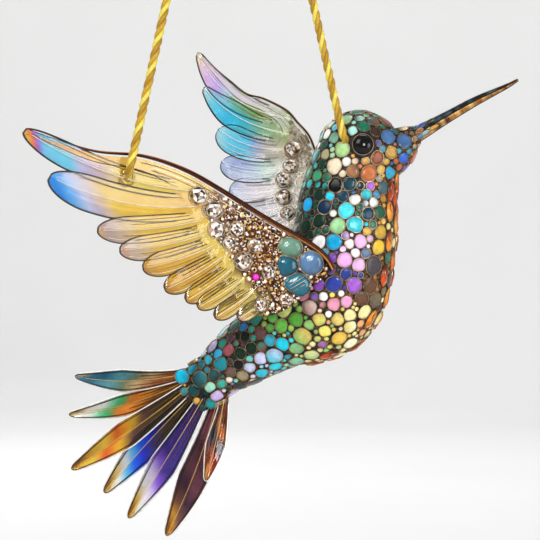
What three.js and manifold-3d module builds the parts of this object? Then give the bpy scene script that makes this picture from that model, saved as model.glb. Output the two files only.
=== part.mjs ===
// Bird suncatcher: a mosaic hummingbird with cast glass wings and tail, hung on one twisted cord.
// Millimetres, +Z up. The bird faces +X and its right side faces -Y.
// Sizes below are in the bird's own frame; the whole is then set so that the hook's seat is the origin.
import * as THREE from "three";
import { mergeVertices } from "three/addons/utils/BufferGeometryUtils.js";
import Module from "manifold-3d";

const wasm = await Module();
wasm.setup();

// Driving dimensions: fits and placing
const FIT_GAP = 0.3;
const SEAT_GAP = 0.5;
const BODY_TURN = THREE.MathUtils.degToRad(10);
const HOOK_SEAT = [-10.4, -32.1, 174.2];

// Body: stations from crown to tail root, with half height across the spine and half width
const SPINE = [
  { x: 35.5, z: 54.6, half: 13.2, width: 11.6 },
  { x: 31.6, z: 41.6, half: 14.3, width: 12.0 },
  { x: 27.8, z: 26.0, half: 16.5, width: 13.4 },
  { x: 25.6, z: 8.7, half: 18.3, width: 15.8 },
  { x: 18.7, z: -10.4, half: 19.9, width: 15.6 },
  { x: 2.4, z: -21.6, half: 13.8, width: 11.8 },
  { x: -12.1, z: -31.4, half: 10.3, width: 8.0 },
  { x: -18.6, z: -36.5, half: 8.6, width: 6.0 },
  { x: -23.2, z: -40.3, half: 9.4, width: 5.2 },
];
const CROWN_SHARE = 1 / (SPINE.length - 1);
const BODY_SIDES = 18;
const CROWN_RINGS = 4;
const TRUNK_RINGS = 16;
const FACE = [
  { x: 36.0, z: 41.0, radius: 11.6 },
  { x: 41.6, z: 42.0, radius: 10.6 },
  { x: 45.6, z: 43.2, radius: 7.4 },
  { x: 48.6, z: 45.2, radius: 4.7 },
  { x: 52.2, z: 47.7, radius: 2.8 },
];
const FACE_SIDES = 12;
const FACE_RINGS = 6;
const FACE_WIDTH = 0.85;
const SHOULDER_RADIUS = 8.0;
const RIGHT_SHOULDER = [12.5, -13.2, 1.0];
const LEFT_SHOULDER = [13.5, 6.2, 4.0];

// Mosaic stones fused into the body: radius of each size and how many places are tried for it
const STONE_SIZES = [
  { radius: 3.2, tries: 70 },
  { radius: 2.5, tries: 30 },
];
const STONE_SEED = 20261;
const STONE_SIDES = 6;
const STONE_RISE = 1.0;
const STONE_ROOT = 1.5;
const STONE_SPACING = 0.35;
const MOSAIC_START = 0.02;
const MOSAIC_END = 0.93;

// Eyes and beak, in the body's middle plane
const EYE_PLACE = { x: 34.2, z: 42.6 };
const EYE_RADIUS = 3.7;
const EYE_HEIGHT = 2.7;
const EYE_SEAT_DEPTH = 0.9;
const EYE_SIDES = 10;
const BEAK = [
  { x: 43.9, z: 43.9, radius: 3.9 },
  { x: 51.4, z: 46.9, radius: 2.75 },
  { x: 61.9, z: 52.7, radius: 1.95 },
  { x: 71.8, z: 58.1, radius: 1.5 },
  { x: 81.7, z: 62.7, radius: 0.8 },
  { x: 86.1, z: 65.1, radius: 0.4 },
];
const BEAK_SIDES = 10;
const BEAK_RINGS = 9;
const BEAK_GROOVE = 0.8;

// Wings: thickness of glass, feather relief and the edge wire
const FEATHER_RIDGE = 0.9;
const FEATHER_TILT = 0.07;
const PLATE_HALF = 1.1;
const STRIP_WIDTH = 5.0;
const FRONT_ROOM = { width: 7.0, half: 4.0 };
const EDGE_WIRE_SIDES = 6;
const CRYSTAL_SIDES = 8;
const TILE_SIDES = 8;

// Right wing: outlines are [x, z] as seen from the bird's side, and the wing bends outwards with its reach
const RIGHT_WING = {
  side: "right",
  outward: -1,
  root: { y: -21.5, reach: 38.5, x: 19.7, z: 0, along: [-1, 0], length: 98.5, power: 1.6 },
  lead: [
    [-78.8, 45.4], [-69.9, 42.3], [-56.8, 38.6], [-41.7, 37.5], [-28.2, 33.2],
    [-15.7, 26.4], [-1.0, 17.2], [13.5, 8.8], [19.0, 4.1], [21.3, 0.0],
  ],
  wrist: 3,
  edgeWire: [0.6, 1.35],
  hem: [
    [-36.0, 31.0], [-27.0, 21.0], [-23.0, 9.5], [-16.5, -2.0], [-10.0, -11.0],
    [-3.5, -15.6], [4.7, -13.6], [9.8, -9.3], [13.8, -4.8], [18.4, -2.4],
  ],
  roots: [[-21.7, 26.0], [-19.7, 13.0], [-12.0, 1.5], [-1.3, -10.4]],
  feathers: [
    { tip: [-78.0, 44.2], half: 4.0, bow: 4.3 },
    { tip: [-70.5, 29.8], half: 5.7, bow: 4.0 },
    { tip: [-55.9, 13.0], half: 4.4, bow: 1.4 },
    { tip: [-49.0, 6.5], half: 4.1, bow: 1.3 },
    { tip: [-41.7, 0.7], half: 4.1, bow: 1.0 },
    { tip: [-34.7, -6.3], half: 3.8, bow: 0.7 },
    { tip: [-27.9, -10.0], half: 3.3, bow: 0.6 },
    { tip: [-24.0, -12.3], half: 3.0, bow: 0.4 },
    { tip: [-18.4, -15.7], half: 2.9, bow: 0.3 },
    { tip: [-10.7, -16.1], half: 2.6, bow: 0.0 },
  ],
  crystals: [
    [-24.3, 24.6, 3.0], [-18.9, 20.0, 2.6], [-18.4, 13.4, 2.7], [-11.4, 13.6, 2.4], [-14.0, 9.2, 2.1],
    [-5.4, 8.2, 2.3], [-9.4, 3.0, 2.9], [-0.7, -0.7, 2.2], [-3.4, -11.8, 2.1], [5.2, -9.9, 2.1],
  ],
  innerCrystals: [[-20.0, 20.0, 2.6], [-15.0, 11.0, 2.6], [-9.0, 2.5, 2.6], [-3.5, -6.0, 2.4]],
  tiles: [[7.4, 7.6, 3.1], [13.9, 2.4, 4.1], [6.0, 1.4, 2.9], [8.9, -4.5, 3.0]],
};

// Left wing: raised higher, bending away to the left
const LEFT_WING = {
  side: "left",
  outward: 1,
  root: { y: 14.5, reach: 51.5, x: 21.5, z: 5.4, along: [-0.535, 0.845], length: 93.5, power: 1.5 },
  lead: [
    [-28.2, 84.6], [-23.2, 79.3], [-15.6, 71.4], [-8.9, 66.1], [-2.2, 63.8], [6.0, 59.0],
    [10.0, 54.2], [14.5, 48.2], [17.4, 38.1], [20.1, 23.4], [22.2, 8.9], [22.3, 2.5],
  ],
  wrist: 5,
  edgeWire: [0.5, 0.95],
  hem: [
    [0.5, 57.0], [-0.5, 46.0], [-2.5, 36.0], [-2.0, 27.0], [0.5, 18.0],
    [5.0, 9.0], [8.5, 1.5], [14.0, -3.0], [19.0, -3.5], [21.5, 0.0],
  ],
  roots: [[7.7, 55.5], [6.3, 44.0], [4.4, 30.5], [6.2, 18.0], [10.4, 8.2]],
  feathers: [
    { tip: [-27.6, 83.4], half: 4.5, bow: 6.3, pointed: true },
    { tip: [-24.8, 69.0], half: 5.2, bow: 4.0, pointed: true },
    { tip: [-19.0, 52.2], half: 5.7, bow: 2.8 },
    { tip: [-17.7, 39.6], half: 4.9, bow: 2.0 },
    { tip: [-14.6, 29.8], half: 4.5, bow: 1.2 },
    { tip: [-9.8, 21.0], half: 3.8, bow: 0.6 },
    { tip: [-4.7, 14.1], half: 3.5, bow: 0.4 },
    { tip: [0.0, 7.2], half: 3.2, bow: 0.2 },
    { tip: [4.7, 0.7], half: 3.0, bow: 0.0 },
  ],
  crystals: [
    [8.6, 43.7, 3.0], [7.6, 37.3, 2.5], [5.6, 31.6, 2.8], [6.0, 25.2, 2.6], [12.4, 48.0, 2.1],
    [12.0, 32.0, 2.4], [13.5, 25.0, 2.2], [12.5, 18.5, 2.4],
  ],
  innerCrystals: [[8.6, 43.7, 3.0], [7.6, 37.5, 2.5], [5.0, 32.4, 2.7], [5.1, 26.1, 2.8], [6.6, 20.2, 2.5]],
  tiles: [[9.8, 12.4, 3.0], [16.2, 8.4, 4.0], [10.0, 6.0, 2.9], [16.8, 0.4, 2.7]],
};

// Tail: seven blades fanned in the body's middle plane, the upper ones leaning away to the left
const TAIL = [
  { root: [-29.5, -35.4], tip: [-72.7, -38.4], lean: 10, half: 3.9, bow: 2.6 },
  { root: [-28.9, -37.4], tip: [-74.9, -52.3], lean: 7, half: 3.8, bow: 2.8 },
  { root: [-26.9, -39.4], tip: [-71.5, -70.9], lean: 1, half: 4.7, bow: 1.1 },
  { root: [-25.0, -41.9], tip: [-60.3, -79.3], lean: 1, half: 5.0, bow: -0.7 },
  { root: [-22.8, -43.6], tip: [-49.7, -87.2], lean: -3, half: 4.8, bow: 0.6 },
  { root: [-19.5, -45.7], tip: [-35.9, -93.1], lean: -6, half: 5.2, bow: 1.9 },
  { root: [-16.4, -46.8], tip: [-20.8, -73.0], lean: -8, half: 3.4, bow: 0.6 },
];
const TAIL_ROOT_REACH = 5.0;
const TAIL_EDGE = 0.6;
const TAIL_RIDGE = 1.2;
const TAIL_STAGGER = 1.4;

// Cord: from the knot behind the right wing, through its hole, over the hook and down into the head
const CORD_RADIUS = 1.5;
const CORD_SIDES = 8;
const CORD_STEPS = 44;
const CORD_HOLE_RADIUS = 1.9;
const KNOT_RADIUS = 3.0;
const KNOT_CENTRE = [-47.7, -36.4, 30.0];
const CORD_ROUTE = [
  [-47.1, -39.9, 30.1], [-46.7, -42.3, 30.5], [-46.1, -44.4, 31.9], [-45.4, -45.6, 34.0], [-44.9, -45.8, 36.0],
  [-40.2, -43.9, 58.4], [-35.5, -42.1, 80.7], [-30.8, -40.2, 103.1], [-26.0, -38.4, 125.5], [-21.3, -36.5, 147.8],
  [-16.6, -34.7, 170.2], [-15.8, -34.3, 172.4], [-14.4, -33.7, 174.1], [-12.5, -33.0, 175.2], [-10.4, -32.1, 175.7],
  [-8.2, -31.2, 175.3], [-6.4, -30.4, 174.2], [-4.9, -29.8, 172.5], [-4.0, -29.4, 170.4], [0.7, -27.3, 149.9],
  [5.5, -25.2, 129.4], [10.3, -23.1, 108.9], [15.1, -21.0, 88.3], [19.8, -18.9, 67.8], [24.6, -16.9, 47.3],
  [25.2, -16.4, 45.4], [25.9, -15.4, 43.8], [28.1, -12.2, 39.9],
];

// Vectors and small helpers
const UP = new THREE.Vector3(0, 0, 1);
const vec = (x, y, z) => new THREE.Vector3(x, y, z);
const flatCurve = (points) => new THREE.CatmullRomCurve3(points.map(([x, z]) => vec(x, 0, z)), false, "catmullrom");
const turned = (point) => point.applyAxisAngle(UP, -BODY_TURN);
const material = (color, roughness, metalness) => new THREE.MeshStandardMaterial({ color, roughness, metalness });

// Closed solid through rings of equal point counts, each end closed by a fan
function loft(rings) {
  const count = rings[0].length;
  const last = (rings.length - 1) * count;
  const index = [];
  for (let ring = 0; ring + 1 < rings.length; ring++) {
    for (let k = 0; k < count; k++) {
      const a = ring * count + k;
      const b = ring * count + ((k + 1) % count);
      index.push(a, b, b + count, a, b + count, a + count);
    }
  }
  for (let k = 1; k + 1 < count; k++) {
    index.push(0, k + 1, k);
    index.push(last, last + k, last + k + 1);
  }
  const geometry = new THREE.BufferGeometry();
  geometry.setAttribute("position", new THREE.Float32BufferAttribute(rings.flat().flatMap((p) => p.toArray()), 3));
  geometry.setIndex(index);
  return facingOut(geometry);
}

// Turns a closed geometry's faces outwards by the sign of its volume
function facingOut(geometry) {
  const position = geometry.attributes.position;
  const index = geometry.index.array;
  const corners = [vec(0, 0, 0), vec(0, 0, 0), vec(0, 0, 0)];
  let volume = 0;
  for (let t = 0; t < index.length; t += 3) {
    corners.forEach((corner, k) => corner.fromBufferAttribute(position, index[t + k]));
    volume += corners[0].dot(corners[1].clone().cross(corners[2]));
  }
  if (volume < 0) {
    for (let t = 0; t < index.length; t += 3) {
      [index[t], index[t + 1]] = [index[t + 1], index[t]];
    }
  }
  return geometry;
}

// Solid for joining and cutting, from a closed geometry
function toSolid(geometry) {
  const bare = geometry.clone();
  bare.deleteAttribute("normal");
  bare.deleteAttribute("uv");
  const merged = mergeVertices(bare, 1e-4);
  const source = merged.index.array;
  const triangles = [];
  for (let t = 0; t < source.length; t += 3) {
    const [a, b, c] = [source[t], source[t + 1], source[t + 2]];
    if (a !== b && b !== c && c !== a) {
      triangles.push(a, b, c);
    }
  }
  const vertProperties = new Float32Array(merged.attributes.position.array);
  return new wasm.Manifold(new wasm.Mesh({ numProp: 3, vertProperties, triVerts: new Uint32Array(triangles) }));
}

// Geometry for a mesh, from a joined or cut solid
function toGeometry(solid) {
  const mesh = solid.getMesh();
  const geometry = new THREE.BufferGeometry();
  geometry.setAttribute("position", new THREE.BufferAttribute(mesh.vertProperties, 3));
  geometry.setIndex(new THREE.BufferAttribute(mesh.triVerts, 1));
  geometry.computeVertexNormals();
  return geometry;
}

const joined = (solids) => solids.reduce((whole, solid) => whole.add(solid));

// Turns a geometry made along +Z to stand on a point, along a direction
function standing(geometry, point, direction) {
  const turn = new THREE.Quaternion().setFromUnitVectors(UP, direction);
  return geometry.clone().applyQuaternion(turn).translate(point.x, point.y, point.z);
}

// Body surface: share runs from crown to tail root, angle from the back round by the left side
const spineCurve = new THREE.CatmullRomCurve3(SPINE.map(({ x, z }) => vec(x, 0, z)), false, "catmullrom");
const girthCurve = new THREE.CatmullRomCurve3(SPINE.map(({ half, width }) => vec(half, width, 0)), false, "catmullrom");

function bodyPoint(share, angle, grow = 0) {
  const centre = spineCurve.getPoint(share);
  const along = spineCurve.getTangent(share);
  const girth = girthCurve.getPoint(share);
  const dome = share < CROWN_SHARE ? Math.sqrt(1 - (1 - share / CROWN_SHARE) ** 2) : 1;
  const across = (girth.x * dome + grow) * Math.cos(angle);
  const aside = (girth.y * dome + grow) * Math.sin(angle);
  return turned(centre.add(vec(along.z * across, aside, -along.x * across)));
}

function bodyNormal(share, angle) {
  const step = 0.002;
  const along = bodyPoint(share + step, angle).sub(bodyPoint(share - step, angle));
  const around = bodyPoint(share, angle + step).sub(bodyPoint(share, angle - step));
  return around.cross(along).normalize();
}

function bodyTrunk(grow) {
  const shares = [];
  for (let k = 0; k <= CROWN_RINGS; k++) {
    shares.push(CROWN_SHARE * (1 - Math.cos(((k + 0.4) / (CROWN_RINGS + 0.4)) * (Math.PI / 2))));
  }
  for (let k = 1; k <= TRUNK_RINGS; k++) {
    shares.push(CROWN_SHARE + (1 - CROWN_SHARE) * (k / TRUNK_RINGS));
  }
  const rings = shares.map((share) => {
    const ring = [];
    for (let k = 0; k < BODY_SIDES; k++) {
      ring.push(bodyPoint(share, (2 * Math.PI * k) / BODY_SIDES, grow));
    }
    return ring;
  });
  const push = turned(spineCurve.getTangent(1)).multiplyScalar(grow);
  rings[rings.length - 1].forEach((point) => point.add(push));
  return toSolid(loft(rings));
}

// Tapered form through stations in the body's middle plane; shape scales each corner's [lift, width]
function taperedForm(stations, sides, ringCount, grow, shape) {
  const line = new THREE.CatmullRomCurve3(stations.map(({ x, z }) => vec(x, 0, z)), false, "catmullrom");
  const girth = new THREE.CatmullRomCurve3(stations.map(({ radius }) => vec(radius, 0, 0)), false, "catmullrom");
  const rings = [];
  for (let r = 0; r <= ringCount; r++) {
    const share = r / ringCount;
    const centre = line.getPoint(share);
    const along = line.getTangent(share);
    const radius = girth.getPoint(share).x + grow;
    const ring = [];
    for (let k = 0; k < sides; k++) {
      const angle = (2 * Math.PI * k) / sides;
      const [liftShape, widthShape] = shape(k);
      const lift = radius * liftShape * Math.sin(angle);
      const place = vec(-along.z * lift, radius * widthShape * Math.cos(angle), along.x * lift);
      ring.push(turned(place.add(centre)));
    }
    rings.push(ring);
  }
  const push = turned(line.getTangent(1)).multiplyScalar(grow);
  rings[ringCount].forEach((point) => point.add(push));
  return toSolid(loft(rings));
}

// Body with its face and shoulders, grown all round by a fit gap where something is cut to it
function bodyForm(grow) {
  const shoulders = [RIGHT_SHOULDER, LEFT_SHOULDER].map((centre) => {
    const ball = new THREE.SphereGeometry(SHOULDER_RADIUS + grow, 10, 7).translate(...centre);
    return toSolid(ball);
  });
  const face = taperedForm(FACE, FACE_SIDES, FACE_RINGS, grow, () => [1, FACE_WIDTH]);
  return joined([bodyTrunk(grow), face, ...shoulders]);
}

// Places on the body's surface, found by their place in the middle plane
function bodyPlace({ x, z }, sideSign) {
  let best = null;
  for (let s = 1; s < 200; s++) {
    for (let a = 0; a <= 60; a++) {
      const share = s / 400;
      const angle = sideSign * Math.PI * (a / 60);
      const point = bodyPoint(share, angle).applyAxisAngle(UP, BODY_TURN);
      const miss = Math.hypot(point.x - x, point.z - z);
      if (best === null || miss < best.miss) {
        best = { miss, share, angle };
      }
    }
  }
  return { point: bodyPoint(best.share, best.angle), normal: bodyNormal(best.share, best.angle) };
}

const rightEyePlace = bodyPlace(EYE_PLACE, -1);
const leftEyePlace = bodyPlace(EYE_PLACE, 1);
const headHole = vec(...CORD_ROUTE[CORD_ROUTE.length - 3]);
const beakRoot = turned(vec(BEAK[0].x, 0, BEAK[0].z));

// Repeatable random numbers from 0 to 1
function randomSource(seed) {
  let state = seed >>> 0;
  return () => {
    state = (Math.imul(state, 1664525) + 1013904223) >>> 0;
    return state / 4294967296;
  };
}

// Mosaic stones, the larger sizes first, each clear of its neighbours and of what is fixed to the body
function mosaicStones() {
  const random = randomSource(STONE_SEED);
  const clear = [
    { point: rightEyePlace.point, radius: EYE_RADIUS + 0.6 },
    { point: leftEyePlace.point, radius: EYE_RADIUS + 0.6 },
    { point: headHole, radius: CORD_HOLE_RADIUS + 1.2 },
    { point: beakRoot, radius: BEAK[0].radius + 2.2 },
    { point: vec(...RIGHT_SHOULDER), radius: SHOULDER_RADIUS + 2.5 },
    { point: vec(...LEFT_SHOULDER), radius: SHOULDER_RADIUS + 2.5 },
  ];
  const stones = [];
  for (const { radius, tries } of STONE_SIZES) {
    for (let k = 0; k < tries; k++) {
      const share = MOSAIC_START + (MOSAIC_END - MOSAIC_START) * random();
      const angle = 2 * Math.PI * random();
      const point = bodyPoint(share, angle);
      const free = clear.every((zone) => zone.point.distanceTo(point) > zone.radius + radius);
      const apart = stones.every((stone) => stone.point.distanceTo(point) > stone.radius + radius + STONE_SPACING);
      if (free && apart) {
        stones.push({ point, normal: bodyNormal(share, angle), radius });
      }
    }
  }
  return stones;
}

// One domed stone with few sides, its root sunk in the body
function stoneSolid({ point, normal, radius }) {
  const profile = [[-STONE_ROOT, radius * 1.04], [STONE_RISE, radius * 0.7]];
  const rings = profile.map(([height, r]) => {
    const ring = [];
    for (let k = 0; k < STONE_SIDES; k++) {
      const angle = (2 * Math.PI * k) / STONE_SIDES;
      ring.push(vec(r * Math.cos(angle), r * Math.sin(angle), height));
    }
    return ring;
  });
  return toSolid(standing(loft(rings), point, normal));
}

// Tube along the cord's route
const cordCurve = new THREE.CatmullRomCurve3(CORD_ROUTE.map(([x, y, z]) => vec(x, y, z)));

function cordTube(radius) {
  const section = new THREE.Shape();
  for (let k = 0; k < CORD_SIDES; k++) {
    const angle = (2 * Math.PI * k) / CORD_SIDES;
    const place = [radius * Math.cos(angle), radius * Math.sin(angle)];
    if (k === 0) {
      section.moveTo(...place);
    } else {
      section.lineTo(...place);
    }
  }
  section.closePath();
  return new THREE.ExtrudeGeometry(section, { steps: CORD_STEPS, extrudePath: cordCurve, bevelEnabled: false });
}

// Eye bead: a domed button of revolution
function eyeBead() {
  const profile = [new THREE.Vector2(0, 0), new THREE.Vector2(EYE_RADIUS, 0)];
  for (let k = 0; k < 3; k++) {
    const angle = (Math.PI / 2) * (k / 3);
    const height = EYE_SEAT_DEPTH + (EYE_HEIGHT - EYE_SEAT_DEPTH) * Math.sin(angle);
    profile.push(new THREE.Vector2(EYE_RADIUS * Math.cos(angle), height));
  }
  profile.push(new THREE.Vector2(0, EYE_HEIGHT));
  return new THREE.LatheGeometry(profile, EYE_SIDES).rotateX(Math.PI / 2);
}

function eyeSolid({ point, normal }) {
  const seat = point.clone().addScaledVector(normal, FIT_GAP - EYE_SEAT_DEPTH);
  return standing(eyeBead(), seat, normal);
}

function eyeSocket({ point, normal }) {
  const depth = 2 * EYE_SEAT_DEPTH;
  const cutter = new THREE.CylinderGeometry(EYE_RADIUS + FIT_GAP, EYE_RADIUS + FIT_GAP, depth, EYE_SIDES);
  cutter.rotateX(Math.PI / 2);
  return toSolid(standing(cutter, point, normal));
}

// Beak: tapered, with a groove along each side where its halves meet
function beakForm() {
  const grooved = (k) => (k % (BEAK_SIDES / 2) === 0 ? BEAK_GROOVE : 1);
  return taperedForm(BEAK, BEAK_SIDES, BEAK_RINGS, 0, (k) => [grooved(k), grooved(k)]);
}

// Wing surface: how far out of the middle plane the wing stands at a place, and its outward normal there
function wingBend(wing, x, z) {
  const { root } = wing;
  const reach = ((x - root.x) * root.along[0] + (z - root.z) * root.along[1]) / root.length;
  return root.y + wing.outward * root.reach * Math.max(0, reach) ** root.power;
}

function wingNormal(wing, x, z) {
  const step = 0.1;
  const slopeX = (wingBend(wing, x + step, z) - wingBend(wing, x - step, z)) / (2 * step);
  const slopeZ = (wingBend(wing, x, z + step) - wingBend(wing, x, z - step)) / (2 * step);
  return vec(-slopeX, 1, -slopeZ).normalize().multiplyScalar(wing.outward);
}

function wingPoint(wing, x, z, lift) {
  return vec(x, wingBend(wing, x, z), z).addScaledVector(wingNormal(wing, x, z), lift);
}

// Width of a feather along its length, as a share of its widest half
function featherShape(share, pointed) {
  const swell = 0.6 + 0.4 * Math.sin((Math.PI / 2) * Math.min(1, share / 0.65));
  const round = share < 0.72 ? 1 : Math.sqrt(Math.max(0, 1 - ((share - 0.72) / 0.285) ** 2));
  const point = 1 - 0.78 * Math.max(0, (share - 0.6) / 0.4) ** 1.4;
  return swell * (pointed ? point : round);
}

const FEATHER_STOPS = [0, 0.35, 0.65, 0.82, 0.94, 1];

// One wing feather: a thin blade with a ridge along its middle, tilted so that it laps the next one
function wingFeather(wing, root, { tip, half, bow, pointed }) {
  const start = vec(root.x, 0, root.z);
  const end = vec(tip[0], 0, tip[1]);
  const line = end.clone().sub(start).normalize();
  const trailing = vec(line.z, 0, -line.x).multiplyScalar(Math.sign(line.x) || 1);
  const middle = start.clone().add(end).multiplyScalar(0.5).addScaledVector(trailing, 2 * bow);
  const axis = new THREE.QuadraticBezierCurve3(start, middle, end);
  const around = [[-1, 0], [0, FEATHER_RIDGE], [1, 0], [0, -FEATHER_RIDGE]];
  const rings = FEATHER_STOPS.map((share) => {
    const centre = axis.getPoint(share);
    const along = axis.getTangent(share);
    const width = half * featherShape(share, pointed);
    return around.map(([aside, lift]) => {
      const x = centre.x + along.z * aside * width;
      const z = centre.z - along.x * aside * width;
      return wingPoint(wing, x, z, lift + FEATHER_TILT * aside * width);
    });
  });
  return toSolid(loft(rings));
}

// Flat web between two edges of a wing, as a chain of sections from edge to edge
function wingWeb(wing, upper, lower, stops, half) {
  const rings = [];
  for (let k = 0; k <= stops; k++) {
    const top = upper.getPoint(k / stops);
    const foot = lower.getPoint(k / stops);
    const across = [top, top.clone().lerp(foot, 0.5), foot];
    const face = across.map((p) => wingPoint(wing, p.x, p.z, half));
    const back = across.reverse().map((p) => wingPoint(wing, p.x, p.z, -half));
    rings.push([...face, ...back]);
  }
  return toSolid(loft(rings));
}

// Radius of the edge wire, thin at the wing's tip and thick at the shoulder
function wireRadius(wing, share) {
  const [tipRadius, rootRadius] = wing.edgeWire;
  return tipRadius + (rootRadius - tipRadius) * share;
}

// Front edge line of a wing, moved into the wing by a distance that may change along it
function shiftedLead(wing, distance) {
  const lead = flatCurve(wing.lead);
  const last = wing.lead.length - 1;
  return wing.lead.map(([x, z], k) => {
    const along = lead.getTangent(k / last);
    const shift = distance(k / last);
    return [x + along.z * shift, z - along.x * shift];
  });
}

const glassEdge = (wing) => shiftedLead(wing, (share) => wireRadius(wing, share) + FIT_GAP);

// Room in front of a wing's edge line, where no glass stands
function frontRoom(wing) {
  const outer = shiftedLead(wing, () => -FRONT_ROOM.width);
  return wingWeb(wing, flatCurve(outer), flatCurve(wing.lead), wing.lead.length + 2, FRONT_ROOM.half);
}

// Edge wire along the front of a wing
function edgeWire(wing, grow) {
  const lead = flatCurve(wing.lead);
  const stops = wing.lead.length + 2;
  const rings = [];
  for (let k = 0; k <= stops; k++) {
    const share = k / stops;
    const place = lead.getPoint(share);
    const along = lead.getTangent(share);
    const radius = wireRadius(wing, share) + grow;
    const ring = [];
    for (let s = 0; s < EDGE_WIRE_SIDES; s++) {
      const angle = (2 * Math.PI * s) / EDGE_WIRE_SIDES;
      const aside = radius * Math.cos(angle);
      ring.push(wingPoint(wing, place.x - along.z * aside, place.z + along.x * aside, radius * Math.sin(angle)));
    }
    rings.push(ring);
  }
  return loft(rings);
}

// Front strip from wrist to tip, under the edge wire
function leadStrip(wing) {
  const count = wing.wrist + 2;
  const wristShare = (count - 1) / (wing.lead.length - 1);
  const upper = glassEdge(wing).slice(0, count);
  const inner = shiftedLead(wing, (share) => STRIP_WIDTH * (0.3 + 0.7 * (share / wristShare))).slice(0, count);
  return wingWeb(wing, flatCurve(upper), flatCurve(inner), count, FEATHER_RIDGE);
}

// Whole wing as one cast piece, cut clear of the body, the edge wire and the cord
function wingForm(wing, cutters) {
  const roots = flatCurve(wing.roots);
  const count = wing.feathers.length;
  const feathers = wing.feathers.map((feather, k) => wingFeather(wing, roots.getPoint(k / (count - 1)), feather));
  const plate = wingWeb(wing, flatCurve(glassEdge(wing).slice(wing.wrist)), flatCurve(wing.hem), 9, PLATE_HALF);
  const whole = joined([plate, leadStrip(wing), ...feathers]);
  return cutters.reduce((left, cutter) => left.subtract(cutter), whole);
}

// Faceted crystal with a flat back, and a domed glass tile
function crystalGeometry(radius) {
  const profile = [[0, 0], [radius, 0], [0.58 * radius, 0.62 * radius], [0, 0.62 * radius]];
  const points = profile.map(([r, h]) => new THREE.Vector2(r, h));
  return new THREE.LatheGeometry(points, CRYSTAL_SIDES).rotateX(Math.PI / 2);
}

function tileGeometry(radius) {
  const profile = [[0, 0], [radius, 0], [radius, 0.7], [0.7 * radius, 1.3], [0, 1.5]];
  const points = profile.map(([r, h]) => new THREE.Vector2(r, h));
  return new THREE.LatheGeometry(points, TILE_SIDES).rotateX(Math.PI / 2);
}

function onWing(wing, geometry, [x, z], face) {
  const normal = wingNormal(wing, x, z).multiplyScalar(face);
  const point = vec(x, wingBend(wing, x, z), z).addScaledVector(normal, PLATE_HALF + SEAT_GAP);
  return standing(geometry, point, normal);
}

// One tail blade with a ridge along its middle on both faces, cut to the body at its root
function tailBlade({ root, tip, lean, half, bow }, number, bodyCutter) {
  const stagger = number % 2 === 0 ? TAIL_STAGGER : -TAIL_STAGGER;
  const start = vec(root[0], stagger, root[1]);
  const end = vec(tip[0], stagger + lean, tip[1]);
  const along = end.clone().sub(start).normalize();
  start.addScaledVector(along, -TAIL_ROOT_REACH);
  const aside = vec(along.z, 0, -along.x).normalize();
  const face = along.clone().cross(aside).normalize();
  const around = [[-1, TAIL_EDGE], [0, TAIL_RIDGE], [1, TAIL_EDGE], [1, -TAIL_EDGE], [0, -TAIL_RIDGE], [-1, -TAIL_EDGE]];
  const rings = FEATHER_STOPS.map((share) => {
    const centre = start.clone().lerp(end, share).addScaledVector(aside, -4 * bow * share * (1 - share));
    const width = half * featherShape(share, true) * (0.45 + 0.55 * Math.min(1, share / 0.6));
    return around.map(([side, lift]) => {
      const place = centre.clone().addScaledVector(aside, side * width).addScaledVector(face, lift);
      return turned(place);
    });
  });
  return toGeometry(toSolid(loft(rings)).subtract(bodyCutter));
}

// Finishes
const mosaicGround = material(0x2c4a48, 0.35, 0.5);
const beakMetal = material(0x8a6a42, 0.3, 0.8);
const eyeGlass = material(0x0a0a0c, 0.08, 0.0);
const amberGlass = material(0xd9a441, 0.12, 0.0);
const rainbowGlass = material(0xa9cfd8, 0.1, 0.0);
const copper = material(0x6b3a1d, 0.35, 0.9);
const crystal = material(0xe6e4ea, 0.05, 0.0);
const shoulderGlass = material(0x4d7484, 0.12, 0.1);
const tailGlass = material(0x8c6a4a, 0.1, 0.0);
const goldCord = material(0xd6b13a, 0.6, 0.1);

// Assembly
const bird = new THREE.Group();
bird.position.set(...HOOK_SEAT).negate();

function add(name, geometry, finish) {
  const mesh = new THREE.Mesh(geometry, finish);
  mesh.name = name;
  bird.add(mesh);
}

const cordCutter = toSolid(cordTube(CORD_HOLE_RADIUS));
const bodyCutter = bodyForm(FIT_GAP);
const body = joined([bodyForm(0), ...mosaicStones().map(stoneSolid)]);
const sockets = [rightEyePlace, leftEyePlace].map(eyeSocket);
add("body", toGeometry([...sockets, cordCutter].reduce((left, cutter) => left.subtract(cutter), body)), mosaicGround);
add("beak", toGeometry(beakForm().subtract(bodyCutter)), beakMetal);
add("right_eye", eyeSolid(rightEyePlace), eyeGlass);
add("left_eye", eyeSolid(leftEyePlace), eyeGlass);

for (const wing of [RIGHT_WING, LEFT_WING]) {
  const glass = wing === RIGHT_WING ? amberGlass : rainbowGlass;
  const wireCutter = toSolid(edgeWire(wing, FIT_GAP));
  const cutters = [bodyCutter, frontRoom(wing), wireCutter, cordCutter];
  add(`${wing.side}_wing`, toGeometry(wingForm(wing, cutters)), glass);
  add(`${wing.side}_wing_edge`, toGeometry(toSolid(edgeWire(wing, 0)).subtract(bodyCutter)), copper);
  wing.crystals.forEach(([x, z, radius], k) => {
    add(`${wing.side}_crystal_${k + 1}`, onWing(wing, crystalGeometry(radius), [x, z], 1), crystal);
  });
  wing.innerCrystals.forEach(([x, z, radius], k) => {
    add(`${wing.side}_inner_crystal_${k + 1}`, onWing(wing, crystalGeometry(radius), [x, z], -1), crystal);
  });
  wing.tiles.forEach(([x, z, radius], k) => {
    add(`${wing.side}_shoulder_tile_${k + 1}`, onWing(wing, tileGeometry(radius), [x, z], 1), shoulderGlass);
  });
}

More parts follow.
